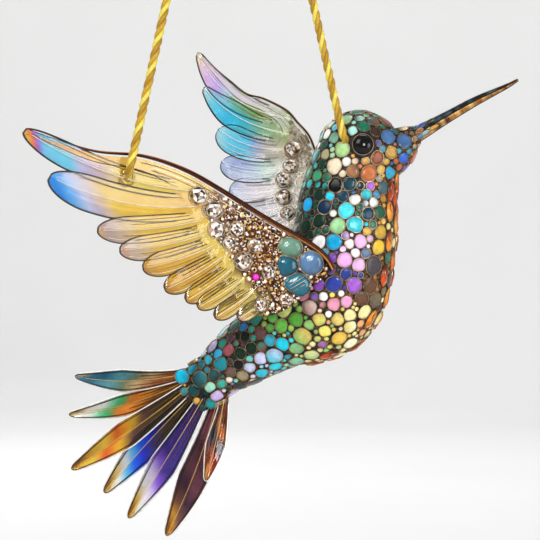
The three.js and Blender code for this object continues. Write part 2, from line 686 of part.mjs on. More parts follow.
TAIL.forEach((blade, k) => add(`tail_feather_${k + 1}`, tailBlade(blade, k + 1, bodyCutter), tailGlass));
add("hanging_cord", cordTube(CORD_RADIUS), goldCord);
add("wing_knot", new THREE.SphereGeometry(KNOT_RADIUS, 8, 6).translate(...KNOT_CENTRE), goldCord);

export default bird;
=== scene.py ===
"""Looks of a hanging bird suncatcher: mosaic body, cast glass wings and tail, crystals and a twisted cord.

Sizes are metres in the bird's own frame, which is the row frame moved by HOOK_SEAT.
"""

import logging
import math
from dataclasses import dataclass
from enum import Enum
from functools import partial
from typing import Callable, Iterable, Iterator, Optional, Sequence, Union

import bpy
import numpy as np
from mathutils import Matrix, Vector
from mathutils.kdtree import KDTree


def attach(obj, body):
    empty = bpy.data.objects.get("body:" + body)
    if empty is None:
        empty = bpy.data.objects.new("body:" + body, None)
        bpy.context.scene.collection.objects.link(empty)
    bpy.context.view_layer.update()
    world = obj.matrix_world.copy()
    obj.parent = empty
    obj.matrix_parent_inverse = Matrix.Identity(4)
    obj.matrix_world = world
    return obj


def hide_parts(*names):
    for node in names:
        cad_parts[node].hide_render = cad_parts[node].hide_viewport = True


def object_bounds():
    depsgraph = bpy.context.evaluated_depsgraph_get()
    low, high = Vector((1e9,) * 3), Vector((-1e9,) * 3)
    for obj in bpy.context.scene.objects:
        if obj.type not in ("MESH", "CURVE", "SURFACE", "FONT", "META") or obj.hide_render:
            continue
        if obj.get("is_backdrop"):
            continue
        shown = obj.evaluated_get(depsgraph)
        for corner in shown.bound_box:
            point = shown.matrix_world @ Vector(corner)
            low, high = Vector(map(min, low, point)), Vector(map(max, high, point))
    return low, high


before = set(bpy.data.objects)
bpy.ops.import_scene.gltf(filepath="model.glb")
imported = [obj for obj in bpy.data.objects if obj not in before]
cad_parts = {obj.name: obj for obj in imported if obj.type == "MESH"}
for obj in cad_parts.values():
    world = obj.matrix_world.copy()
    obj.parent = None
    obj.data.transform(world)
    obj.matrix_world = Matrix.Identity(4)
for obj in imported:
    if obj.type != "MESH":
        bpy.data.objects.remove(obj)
CAD_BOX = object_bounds()

Array = np.ndarray
Draw = np.random.RandomState
Piece = bpy.types.Object
Mesh = bpy.types.Mesh
Material = bpy.types.Material
Pair = tuple[float, float]
Triple = tuple[float, float, float]
Dot = tuple[float, float, float, str]
Size = tuple[float, float, int]
Spot = tuple[Array, float]

LOG = logging.getLogger("suncatcher")
ROOT = "root"
TINT = "tint"
HOOK_SEAT = np.array((-0.0104, -0.0321, 0.1742))
BODY_TURN = math.radians(10)
AHEAD = np.array((1.0, 0.0, 0.0))
UP = np.array((0.0, 0.0, 1.0))
TURN = 2 * math.pi
QUARTER = math.pi / 2


class Side(Enum):
    """Side of the bird, with the sign of its Y direction."""

    RIGHT = -1
    LEFT = 1


class Line(Enum):
    """Metal of a drawn line on the glass, as a colour code."""

    GOLD = "d8ac52"
    CREAM = "f6ead0"
    WHITE = "fbf8f4"
    DARK = "20130c"
    BROWN = "6a3c20"


# Colours and curves

def shade(code: str) -> Array:
    """Linear colour of a six-digit colour code."""
    parts = np.array([int(code[k:k + 2], 16) for k in (0, 2, 4)]) / 255
    return np.where(parts <= 0.04045, parts / 12.92, ((parts + 0.055) / 1.055) ** 2.4)


def shades(codes: str) -> Array:
    """Linear colours of several colour codes parted by spaces."""
    return np.array([shade(code) for code in codes.split()])


def banded(stops: str, share: Array) -> Array:
    """Linear colours along a length.

    Args:
        stops: places in hundredths of the length, each followed by its colour code.
        share: shares of the length from 0 to 1.

    Returns:
        One colour for each share.
    """
    words = stops.split()
    places, colours = np.array(words[::2], float) / 100, shades(" ".join(words[1::2]))
    return np.stack([np.interp(share, places, colours[:, k]) for k in range(3)], axis=-1)


def unit(vectors: Array) -> Array:
    """Vectors scaled to the length 1."""
    return vectors / np.linalg.norm(vectors, axis=-1, keepdims=True)


def spline(points: Sequence[Sequence[float]], share: Array, even: bool = True) -> Array:
    """Smooth curve through points.

    Args:
        points: places on the curve, in order.
        share: shares of the curve from 0 to 1.
        even: True for knots one apart, False for knots that follow the root of the spacing.

    Returns:
        One place for each share.
    """
    given = np.asarray(points, float)
    padded = np.vstack((2 * given[0] - given[1], given, 2 * given[-1] - given[-2]))
    place = np.clip(np.atleast_1d(share), 0, 1) * (len(given) - 1)
    first = np.minimum(place.astype(int), len(given) - 2)
    weight = (place - first)[:, None]
    before, start, end, after = (padded[first + k] for k in range(4))
    if even:
        leave, arrive = (end - before) / 2, (after - start) / 2
    else:
        gaps = [np.sqrt(np.linalg.norm(b - a, axis=1))[:, None] for a, b in
                ((before, start), (start, end), (end, after))]
        leave = (start - before) / gaps[0] - (end - before) / (gaps[0] + gaps[1]) + (end - start) / gaps[1]
        arrive = (end - start) / gaps[1] - (after - start) / (gaps[1] + gaps[2]) + (after - end) / gaps[2]
        leave, arrive = leave * gaps[1], arrive * gaps[1]
    square, cube = weight ** 2, weight ** 3
    return ((2 * cube - 3 * square + 1) * start + (cube - 2 * square + weight) * leave
            + (3 * square - 2 * cube) * end + (cube - square) * arrive)


def headings(points: Sequence[Sequence[float]], share: Array) -> Array:
    """Unit directions of the smooth curve through points, at shares of it."""
    step = 1e-4
    return unit(spline(points, np.minimum(share + step, 1)) - spline(points, np.maximum(share - step, 0)))


def tangents(points: Array) -> Array:
    """Unit directions along a chain of points."""
    return unit(np.gradient(points, axis=0))


def turned(points: Array, angle: float = -BODY_TURN) -> Array:
    """Points turned about the upright axis by an angle in radians."""
    cos, sin = math.cos(angle), math.sin(angle)
    return points @ np.array(((cos, sin, 0.0), (-sin, cos, 0.0), (0.0, 0.0, 1.0)))


def around(count: int, start: float = 0.0) -> Array:
    """Angles evenly round a full turn."""
    return start + TURN * np.arange(count) / count


def level_ring(radius: float, height: float, sides: int) -> Array:
    """Places round a level circle about the upright axis."""
    angles = around(sides)
    return np.stack((radius * np.cos(angles), radius * np.sin(angles), np.full(sides, height)), axis=-1)


def rings_round(line: Array, angles: Array, scale: Union[float, Array] = 1.0, width: float = 1.0) -> Array:
    """Rings round a line in the body's middle plane.

    Args:
        line: x, z and radius at each place of the line.
        angles: angles in each ring, from the left side upwards.
        scale: factor of the radius, one or one for each angle.
        width: width of the rings as a share of their height.

    Returns:
        Places, as ring number, number in the ring and axis.
    """
    ahead, reach = tangents(line[:, :2]), line[:, 2:] * scale
    lift = reach * np.sin(angles)
    places = (line[:, :1] - ahead[:, 1:] * lift, width * reach * np.cos(angles),
              line[:, 1:2] + ahead[:, :1] * lift)
    return turned(np.stack(places, axis=-1))


def side_frame(normal: Array) -> tuple[Array, Array]:
    """Two unit directions square to a normal and to each other."""
    first = unit(np.cross(UP if abs(normal[2]) < 0.9 else AHEAD, normal))
    return first, np.cross(normal, first)


def carried(path: Array) -> tuple[Array, Array]:
    """Directions square to a path, carried along it without a twist.

    Args:
        path: places along the path.

    Returns:
        Two unit directions for each place, square to each other.
    """
    along = tangents(path)
    first, _ = side_frame(along[0])
    firsts = []
    for direction in along:
        first = unit(first - direction * (first @ direction))
        firsts.append(first)
    return np.array(firsts), np.cross(along, firsts)


# Room for small things

def inside(outline: Array, place: Array) -> bool:
    """Whether a flat place lies inside a closed outline.

    Args:
        outline: corners of the outline, in order.
        place: the place.

    Returns:
        True when it lies inside.
    """
    start, end = outline, np.roll(outline, -1, axis=0)
    cross = (start[:, 1] > place[1]) != (end[:, 1] > place[1])
    rise = np.where(end[:, 1] == start[:, 1], 1e-12, end[:, 1] - start[:, 1])
    meet = start[:, 0] + (end[:, 0] - start[:, 0]) * (place[1] - start[:, 1]) / rise
    return bool(np.count_nonzero(cross & (place[0] < meet)) % 2)


def throws(outline: Array, draw: Draw, tries: int) -> Iterator[Array]:
    """Random places in the box of an outline, less those that fall outside it.

    Args:
        outline: corners of the outline, in order.
        draw: random numbers.
        tries: number of throws.

    Yields:
        Each place inside.
    """
    low, span = outline.min(axis=0), np.ptp(outline, axis=0)
    for _ in range(tries):
        place = low + span * draw.rand(2)
        if inside(outline, place):
            yield place


def scatter(taken: Sequence[Spot], sizes: Sequence[Size], offer: Callable[[int], Iterable[Array]],
            spacing: float = 0.0) -> Iterator[Spot]:
    """Finds room for ever smaller round things, each grown until it nearly touches its neighbours.

    Args:
        taken: middles and radii of the things that are there already.
        sizes: least radius, greatest radius and number of tries, the largest first.
        offer: gives rows for a number of tries; each row starts with the place's coordinates.
        spacing: gap that is left to the neighbours.

    Yields:
        Row and radius of each new thing.
    """
    middles, radii = [middle for middle, _ in taken], [radius for _, radius in taken]
    spare, count, axes = sum(tries for _, _, tries in sizes), len(taken), len(middles[0])
    middles, radii = np.vstack((middles, np.zeros((spare, axes)))), np.hstack((radii, np.zeros(spare)))
    for least, most, tries in sizes:
        for row in offer(tries):
            gaps = np.linalg.norm(middles[:count] - row[:axes], axis=1) - radii[:count]
            room = float(gaps.min()) - spacing
            if room >= least:
                middles[count], radii[count] = row[:axes], min(room, most)
                count += 1
                yield row, min(room, most)


def spot_tree(places: Sequence[Array]) -> KDTree:
    """Search tree of places.

    Args:
        places: the places, numbered in their order.

    Returns:
        The tree, ready for use.
    """
    tree = KDTree(len(places))
    for number, place in enumerate(places):
        tree.insert(place, number)
    tree.balance()
    return tree


# Meshes

class MeshMaker:
    """Gathers closed forms into one mesh, with a tint for each vertex and a finish number for each face."""

    def __init__(self) -> None:
        """Starts with nothing gathered."""
        self.points: list[Array] = []
        self.tints: list[Array] = []
        self.faces: list[list[int]] = []
        self.finishes: list[int] = []
        self.facet_tints: dict[int, Array] = {}
        self.count = 0

    def form(self, points: Array, faces: list[list[int]], tint: Array, finishes: list[int]) -> None:
        """Adds a closed form, its faces turned outwards by the sign of its volume.

        Args:
            points: corner places, one row each.
            faces: corner numbers of each face, counted within this form.
            tint: one colour, or one for each corner.
            finishes: finish number of each face.
        """
        volume = 0.0
        for face in faces:
            fan = points[face]
            volume += float(np.sum(np.cross(fan[1:-1], fan[2:]) @ fan[0]))
        order = 1 if volume >= 0 else -1
        self.faces += [[k + self.count for k in face[::order]] for face in faces]
        self.finishes += finishes
        self.points.append(points)
        self.tints.append(np.broadcast_to(tint, points.shape))
        self.count += len(points)

    def loft(self, rings: Array, tint: Array, finish: Union[int, Sequence[int]] = 0) -> None:
        """Adds a closed form through rings of equal point counts.

        Args:
            rings: places, as ring number, number in the ring and axis.
            tint: one colour, or one for each place.
            finish: one finish number, or one for each span between rings.
        """
        rings = np.asarray(rings, float)
        number, size = rings.shape[:2]
        grid = np.arange(number * size).reshape(number, size)
        ahead = np.roll(grid, -1, axis=1)
        quads = np.stack((grid[:-1], ahead[:-1], ahead[1:], grid[1:]), axis=-1).reshape(-1, 4).tolist()
        spans = np.broadcast_to(finish, number - 1)
        finishes = np.repeat(spans, size).tolist() + [int(spans[0]), int(spans[-1])]
        faces = quads + [grid[0][::-1].tolist(), grid[-1].tolist()]
        corners = np.broadcast_to(tint, rings.shape).reshape(-1, 3)
        self.form(rings.reshape(-1, 3), faces, corners, finishes)

    def tube(self, path: Array, radius: Union[float, Array], tint: Array, sides: int = 6,
             finish: int = 0) -> None:
        """Adds a round tube along a path.

        Args:
            path: places along the middle of the tube.
            radius: one radius, or one for each place.
            tint: its colour.
            sides: number of sides.
            finish: finish number.
        """
        across, lifted = carried(path)
        angles = around(sides)[:, None]
        wheel = across[:, None] * np.cos(angles) + lifted[:, None] * np.sin(angles)
        self.loft(path[:, None] + np.broadcast_to(radius, len(path))[:, None, None] * wheel, tint, finish)

    def hoop(self, circle: Array, radius: float, tint: Array, finish: int) -> None:
        """Adds a closed ring of round section.

        Args:
            circle: places round the ring.
            radius: half its thickness.
            tint: its colour.
            finish: finish number.
        """
        spokes = unit(circle - circle.mean(axis=0))
        axis = unit(np.cross(spokes[0], spokes[len(spokes) // 4]))
        angles = around(6)[:, None]
        points = circle[:, None] + radius * (spokes[:, None] * np.cos(angles) + axis * np.sin(angles))
        grid = np.arange(points[..., 0].size).reshape(points.shape[:2])
        ahead, beside = np.roll(grid, -1, axis=0), np.roll(grid, -1, axis=1)
        faces = np.stack((grid, beside, np.roll(ahead, -1, axis=1), ahead), axis=-1).reshape(-1, 4).tolist()
        self.form(points.reshape(-1, 3), faces, tint, [finish] * len(faces))

    def build(self, name: str, finishes: Sequence["Finish"], sharp: float = 40.0) -> Piece:
        """Makes the object, in the row frame.

        Args:
            name: the piece's name.
            finishes: finishes by number.
            sharp: edges that turn by more than this many degrees stay sharp.

        Returns:
            The new object, linked to the scene.
        """
        mesh = bpy.data.meshes.new(name)
        mesh.from_pydata((np.vstack(self.points) - HOOK_SEAT).tolist(), [], self.faces)
        corners = np.vstack(self.tints)[corner_vertices(mesh)]
        for number, tint in self.facet_tints.items():
            face = mesh.polygons[number]
            corners[face.loop_start:face.loop_start + face.loop_total] = tint
        return dressed(mesh, name, corners, finishes, sharp, self.finishes)


def corner_vertices(mesh: Mesh) -> Array:
    """Vertex number of each face corner of a mesh."""
    mesh.loops.foreach_get("vertex_index", numbers := np.empty(len(mesh.loops), dtype=np.int32))
    return numbers


def dressed(mesh: Mesh, name: str, tints: Array, finishes: Sequence["Finish"], sharp: float = 180.0,
            numbers: Union[int, Sequence[int]] = 0) -> Piece:
    """Gives a mesh its tints and finishes and makes a piece of it.

    Args:
        mesh: the bare mesh.
        name: the piece's name.
        tints: linear colour of each face corner.
        finishes: finishes by number.
        sharp: edges that turn by more than this many degrees stay sharp.
        numbers: finish number of all faces, or one for each.

    Returns:
        The new object, linked to the scene.
    """
    for layer in list(mesh.color_attributes):
        mesh.color_attributes.remove(layer)
    layer = mesh.color_attributes.new(TINT, "FLOAT_COLOR", "CORNER")
    layer.data.foreach_set("color", np.hstack((tints, np.ones((len(tints), 1)))).ravel())
    mesh.materials.clear()
    for finish in finishes:
        mesh.materials.append(finish.material())
    count = len(mesh.polygons)
    mesh.polygons.foreach_set("material_index", np.broadcast_to(numbers, count).astype(np.int32))
    mesh.polygons.foreach_set("use_smooth", np.ones(count, dtype=bool))
    mesh.set_sharp_from_angle(angle=math.radians(sharp))
    mesh.update()
    mesh.name = name
    piece = bpy.data.objects.new(name, mesh)
    bpy.context.scene.collection.objects.link(piece)
    return piece


def solved(helpers: Sequence[Piece]) -> Mesh:
    """Applies the modifiers of a helper object, then deletes the helpers.

    Args:
        helpers: the helper with the modifiers, and others that it uses.

    Returns:
        The new mesh.
    """
    graph = bpy.context.evaluated_depsgraph_get()
    mesh = bpy.data.meshes.new_from_object(helpers[0].evaluated_get(graph))
    for helper in helpers:
        bpy.data.objects.remove(helper, do_unlink=True)
    return mesh


def fused(name: str, makers: Sequence[MeshMaker], cutters: Sequence[MeshMaker], stain: MeshMaker,
          finish: "Finish", sharp: float) -> Piece:
    """Joins closed forms into one solid, cuts others out of it and carries the tints over.

    Args:
        name: the piece's name.
        makers: forms that are joined; the first one takes the tints of those next to it.
        cutters: forms that are cut away.
        stain: places with a colour of their own, which the solid takes over next to them.
        finish: finish of the solid.
        sharp: edges that turn by more than this many degrees stay sharp.

    Returns:
        The joined object.
    """
    helpers = [maker.build(f"{name}_helper_{k}", ()) for k, maker in enumerate([*makers, *cutters])]
    for number, helper in enumerate(helpers[1:], start=1):
        step = helpers[0].modifiers.new(f"step_{number}", "BOOLEAN")
        step.operation = "UNION" if number < len(makers) else "DIFFERENCE"
        step.solver = "MANIFOLD"
        step.object = helper
    mesh = solved(helpers)
    sources = [*makers[1:], stain]
    tree = spot_tree(np.vstack([place for maker in sources for place in maker.points]) - HOOK_SEAT)
    tints = np.vstack([tint for maker in sources for tint in maker.tints])
    nearest = np.array([tree.find(vertex.co)[1] for vertex in mesh.vertices])
    return dressed(mesh, name, tints[nearest[corner_vertices(mesh)]], (finish,), sharp)


def settle(piece: Piece, slot: str, nodes: Sequence[str] = ()) -> Piece:
    """Fixes a piece to the part, hides the nodes that it stands for and logs its triangle count.

    Args:
        piece: the finished object.
        slot: not used.
        nodes: nodes that the piece replaces.

    Returns:
        The same object.
    """
    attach(piece, ROOT)
    if nodes:
        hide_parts(*nodes)
    triangles = sum(len(face.vertices) - 2 for face in piece.data.polygons)
    LOG.info("%s: %d triangles", piece.name, triangles)
    return piece


# Shader expressions

Input = Union["Term", float, tuple]


@dataclass
class Term:
    """One output of a shader node; sums and products of it add Math nodes."""

    sheet: "ShaderSheet"
    socket: bpy.types.NodeSocket

    def math(self, operation: str, first: Input, second: Input) -> "Term":
        """Result of one Math node."""
        return self.sheet.node("ShaderNodeMath", {"operation": operation}, {0: first, 1: second})

    def __add__(self, other: Input) -> "Term":
        """Sum with other."""
        return self.math("ADD", self, other)

    def __sub__(self, other: Input) -> "Term":
        """This less other."""
        return self.math("SUBTRACT", self, other)

    def __rsub__(self, other: Input) -> "Term":
        """Other less this."""
        return self.math("SUBTRACT", other, self)

    def __mul__(self, other: Input) -> "Term":
        """Product with other."""
        return self.math("MULTIPLY", self, other)

    __radd__, __rmul__ = __add__, __mul__


class ShaderSheet:
    """Node sheet of one material, around one surface shader."""

    def __init__(self, name: str) -> None:
        """Makes an empty material with a surface shader.

        Args:
            name: the material's name.
        """
        self.material = bpy.data.materials.new(name)
        self.material.use_nodes = True
        self.tree = self.material.node_tree
        self.shader = self.tree.nodes["Principled BSDF"]

    def node(self, kind: str, settings: dict, inputs: dict, output: Union[int, str] = 0) -> Term:
        """Adds any node.

        Args:
            kind: the node's type.
            settings: properties by name, set first.
            inputs: values or terms by socket name or number.
            output: name or number of the output that is used.

        Returns:
            The chosen output.
        """
        made = self.tree.nodes.new(kind)
        for name, value in settings.items():
            setattr(made, name, value)
        for key, value in inputs.items():
            self.feed(made.inputs[key], value)
        return Term(self, made.outputs[output])

    def feed(self, socket: bpy.types.NodeSocket, value: Input) -> None:
        """Links a term to a socket, or sets the socket's own value.

        Args:
            socket: the input socket.
            value: a term, a number or a colour.
        """
        if isinstance(value, Term):
            self.tree.links.new(value.socket, socket)
        elif isinstance(value, tuple) and socket.type == "RGBA":
            socket.default_value = (*value, 1.0)
        else:
            socket.default_value = value

    def surface(self, values: dict[str, Input]) -> Material:
        """Sets the surface shader's sockets.

        Args:
            values: values or terms by socket name.

        Returns:
            The sheet's material.
        """
        for key, value in values.items():
            self.feed(self.shader.inputs[key], value)
        return self.material

    def tint(self) -> Term:
        """Colour that the mesh carries."""
        return self.node("ShaderNodeAttribute", {"attribute_name": TINT}, {}, "Color")

    def place(self) -> Term:
        """Place in the object's own frame, in metres."""
        return self.node("ShaderNodeTexCoord", {}, {}, "Object")

    def noise(self, size: float, detail: float = 3.0) -> Term:
        """Soft noise from 0 to 1 with grains of about one size in metres."""
        inputs = {"Vector": self.place(), "Scale": 1 / size, "Detail": detail}
        return self.node("ShaderNodeTexNoise", {}, inputs)

    def cells(self, size: float) -> Term:
        """Distance to the nearest of scattered points, about one size apart in metres."""
        return self.node("ShaderNodeTexVoronoi", {}, {"Vector": self.place(), "Scale": 1 / size})

    def mix(self, factor: Input, first: Input, second: Input, blend: str = "MIX") -> Term:
        """Mix of two colours."""
        settings = {"data_type": "RGBA", "blend_type": blend}
        return self.node("ShaderNodeMix", settings, {0: factor, 6: first, 7: second}, 2)

    def bump(self, height: Input, strength: float, distance: float) -> Term:
        """Normal that follows a height in metres."""
        inputs = {"Strength": strength, "Distance": distance, "Height": height}
        return self.node("ShaderNodeBump", {}, inputs)


# Finishes

@dataclass(frozen=True)
class Finish:
    """Base of every finish; the material is made once and shared."""

    name: str

    def material(self) -> Material:
        """The finish's material, made on first use."""
        return bpy.data.materials.get(self.name) or self.make(ShaderSheet(self.name))

    def make(self, sheet: ShaderSheet) -> Material:
        """Fills the sheet of this finish."""
        raise NotImplementedError


@dataclass(frozen=True)
class DarkGround(Finish):
    """Dark metal between the stones, crusted with crumbs of the mesh's own tint."""

    crumb: float = 0.0009
    patch: float = 0.003
    dark: Triple = (0.012, 0.014, 0.013)

    def make(self, sheet: ShaderSheet) -> Material:
        """Fills the sheet: near-black metal with bright crumbs in patches.

        Args:
            sheet: an empty sheet.

        Returns:
            The material.
        """
        cells = sheet.cells(self.crumb)
        crumbs = (sheet.noise(self.patch) - 0.28) * 2.4 * (1 - cells * 1.3)
        return sheet.surface({
            "Base Color": sheet.mix(crumbs, self.dark, sheet.tint()),
            "Metallic": 0.75,
            "Roughness": 0.28 + 0.3 * cells,
            "Normal": sheet.bump(cells, 0.6, 0.0005),
        })


@dataclass(frozen=True)
class Grained(Finish):
    """Surface whose colour and gloss drift in soft grains.

    Args:
        grain: size of the grains and their detail.
        drift: grain value where the second colour starts, and how fast it comes in.
        rough: least roughness, and how much the grains add.
        relief: strength, depth and grain size of the relief; size 0 takes the grains themselves.
        fixed: plain values of the shader's other sockets.
        second: second colour, or None for the first one again.
        blend: how the second colour is laid over the first.
        cover: how much of it is laid on.
        first: first colour, or None for the tint that the mesh carries.
    """

    grain: Pair
    drift: Pair
    rough: Pair
    relief: Triple
    fixed: dict[str, float]
    second: Optional[Triple] = None
    blend: str = "MULTIPLY"
    cover: float = 1.0
    first: Optional[Triple] = None

    def make(self, sheet: ShaderSheet) -> Material:
        """Fills the sheet of this finish.

        Args:
            sheet: an empty sheet.

        Returns:
            The material.
        """
        grain = sheet.noise(*self.grain)
        first = self.first or sheet.tint()
        second = sheet.mix(self.cover, first, self.second or first, self.blend)
        values: dict[str, Input] = {
            "Base Color": sheet.mix((grain - self.drift[0]) * self.drift[1], first, second),
            "Roughness": self.rough[0] + self.rough[1] * grain,
            **self.fixed,
        }
        strength, depth, size = self.relief
        if strength:
            values["Normal"] = sheet.bump(sheet.noise(size) if size else grain, strength, depth)
        return sheet.surface(values)


def cast_glass(name: str, clear: float, flow: float, index: float = 1.45, coat: float = 0.10) -> Grained:
    """Clear cast glass, tinted by the mesh, with fine flow marks."""
    fixed = {"IOR": index, "Transmission Weight": clear, "Coat Weight": coat, "Coat Roughness": 0.03}
    return Grained(name, (flow, 4.0), (0.44, 1.3), (0.02, 0.10), (0.20, 0.0006, 0.0), fixed)


def tinted_metal(name: str, metal: float, rough: float, grain: float = 0.0015) -> Grained:
    """Metal whose colour the mesh carries, such as drawn lines, edge wires and the beak."""
    relief, dull = (0.25, 0.0003, 0.0), (0.45, 0.42, 0.40)
    return Grained(name, (grain, 4.0), (0.38, 1.7), (rough, 0.22), relief, {"Metallic": metal}, dull)


# Glossy coloured glass of the mosaic stones, clouded inside
ENAMEL = Grained(
    "stone_enamel", grain=(0.0016, 2.0), drift=(0.38, 1.8), rough=(0.14, 0.12),
    relief=(0.12, 0.0002, 0.0007), second=(0.55, 0.56, 0.60),
    fixed={"Specular IOR Level": 0.22, "Coat Weight": 0.05, "Coat Roughness": 0.06})
# Worn metal of the stones' rims, rubbed bright in patches
RIM_METAL = Grained(
    "stone_rim_metal", grain=(0.0022, 3.0), drift=(0.32, 2.6), rough=(0.22, 0.25),
    relief=(0.2, 0.0002, 0.0005),
    fixed={"Metallic": 0.9}, second=(0.52, 0.40, 0.25), blend="MIX", first=(0.07, 0.045, 0.025))
# Clear cut crystal with a foiled back; each facet carries its own tint, painted bright and dark as its glints
# and reflections
CRYSTAL = Grained(
    "cut_crystal", grain=(0.0006, 2.0), drift=(0.4, 1.5), rough=(0.02, 0.05), relief=(0.08, 0.0002, 0.0),
    fixed={"IOR": 1.6, "Transmission Weight": 0.10, "Coat Weight": 0.15, "Coat Roughness": 0.02},
    second=(1.0, 1.0, 1.0), blend="MIX", cover=0.12)
# Black glass of the eyes, with a faint brown depth
EYE_BLACK = Grained(
    "eye_bead_black", grain=(0.003, 2.0), drift=(0.0, 1.0), rough=(0.05, 0.03), relief=(0.03, 0.0002, 0.0),
    fixed={"Specular IOR Level": 0.30}, second=(0.005, 0.004, 0.004), blend="MIX",
    first=(0.001, 0.001, 0.0015))
# Satin gold thread; the mesh carries the tint of each strand
GOLD_THREAD = Grained(
    "gold_thread", grain=(0.0004, 3.0), drift=(0.36, 1.8), rough=(0.40, 0.2), relief=(0.5, 0.0003, 0.0),
    fixed={"Metallic": 0.25, "Sheen Weight": 0.35, "Sheen Roughness": 0.4}, second=(0.55, 0.45, 0.30))
# Matt pale paper of the floor and backdrop
PALE_STAGE = Grained(
    "pale_stage", grain=(0.12, 2.0), drift=(0.0, 1.0), rough=(0.8, 0.1), relief=(0.0, 0.0, 0.0), fixed={},
    second=(0.71, 0.71, 0.70), blend="MIX", first=(0.67, 0.67, 0.66))
DARK_GROUND = DarkGround("mosaic_ground_metal")
WING_GLASS = cast_glass("wing_cast_glass", clear=0.86, flow=0.004)
TAIL_GLASS = cast_glass("tail_blade_glass", clear=0.86, flow=0.003, index=1.30, coat=0.0)
TILE_GLASS = cast_glass("shoulder_tile_glass", clear=0.35, flow=0.002)
LINE_METAL = tinted_metal("drawn_line_metal", metal=0.15, rough=0.22)
EDGE_METAL = tinted_metal("edge_wire_metal", metal=0.85, rough=0.28)
BEAK_METAL = tinted_metal("beak_shaft_metal", metal=0.75, rough=0.20, grain=0.0020)


# Stage

@dataclass
class Studio:
    """Pale round stage, soft lights and the camera in front of the bird."""

    distance: float = 0.650
    frame_width: float = 0.189
    sensor: float = 36.0
    floor_drop: float = 0.150
    floor_radius: float = 1.15
    cove_radius: float = 0.50
    wall_height: float = 1.60
    sides: int = 72
    middle: Triple = (0.0, 0.0, 0.0)
    wall_spot: Triple = (0.0, 1.60, 0.22)
    lights: tuple[tuple[str, Triple, Triple, float, float], ...] = (
        ("key_light", (-0.55, -0.80, 0.65), middle, 0.55, 5.4),
        ("fill_light", (0.80, -0.75, 0.10), middle, 0.50, 4.2),
        ("back_light", (-0.45, 0.85, 0.55), middle, 0.60, 3.2),
        ("wall_light", (0.10, 0.40, 1.15), wall_spot, 0.60, 12.5),
        ("glint_light", (0.13, -0.70, 0.17), middle, 0.15, 1.6),
    )

    def build(self) -> None:
        """Makes the camera, the stage, the lights and the surrounding light."""
        self.camera()
        self.stage()
        for name, place, aim, size, power in self.lights:
            self.light(name, np.array(place), np.array(aim), size, power)
        world = bpy.data.worlds.new("studio_air")
        bpy.context.scene.world = world
        world.use_nodes = True
        air = world.node_tree.nodes["Background"].inputs
        air["Color"].default_value = (0.92, 0.95, 1.0, 1.0)
        air["Strength"].default_value = 0.46
        bpy.context.scene.view_settings.view_transform = "Standard"

    def camera(self) -> None:
        """Level camera that looks along +Y at the bird's middle."""
        lens = bpy.data.cameras.new("photo_camera")
        lens.sensor_width = self.sensor
        lens.lens = self.sensor * self.distance / self.frame_width
        lens.dof.use_dof = False
        camera = bpy.data.objects.new("photo_camera", lens)
        camera.location = Vector(np.array((0.0, -self.distance, 0.0)) - HOOK_SEAT)
        camera.rotation_euler = (QUARTER, 0.0, 0.0)
        bpy.context.scene.collection.objects.link(camera)
        bpy.context.scene.camera = camera

    def stage(self) -> None:
        """Round floor that turns up into a wall all round."""
        bend = np.linspace(0, QUARTER, 9)
        reach = self.floor_radius + self.cove_radius
        radii = [0.02, self.floor_radius / 2, *(self.floor_radius + self.cove_radius * np.sin(bend)), reach]
        heights = [0.0, 0.0, *(self.cove_radius * (1 - np.cos(bend))), self.wall_height]
        maker = MeshMaker()
        rings = [level_ring(r, h - self.floor_drop, self.sides) for r, h in zip(radii, heights)]
        maker.loft(np.array(rings), shade("ffffff"))
        maker.faces.pop()
        maker.finishes.pop()
        stage = maker.build("pale_stage", (PALE_STAGE,))
        stage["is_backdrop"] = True

    def light(self, name: str, place: Array, aim: Array, size: float, power: float) -> None:
        """One square soft light.

        Args:
            name: the light's name.
            place: where it stands, in the bird's frame.
            aim: where it faces.
            size: edge length.
            power: watts.
        """
        lamp = bpy.data.lights.new(name, "AREA")
        lamp.size = size
        lamp.energy = power
        stand = bpy.data.objects.new(name, lamp)
        stand.location = Vector(place - HOOK_SEAT)
        stand.rotation_euler = Vector(aim - place).to_track_quat("-Z", "Y").to_euler()
        bpy.context.scene.collection.objects.link(stand)


# Cord

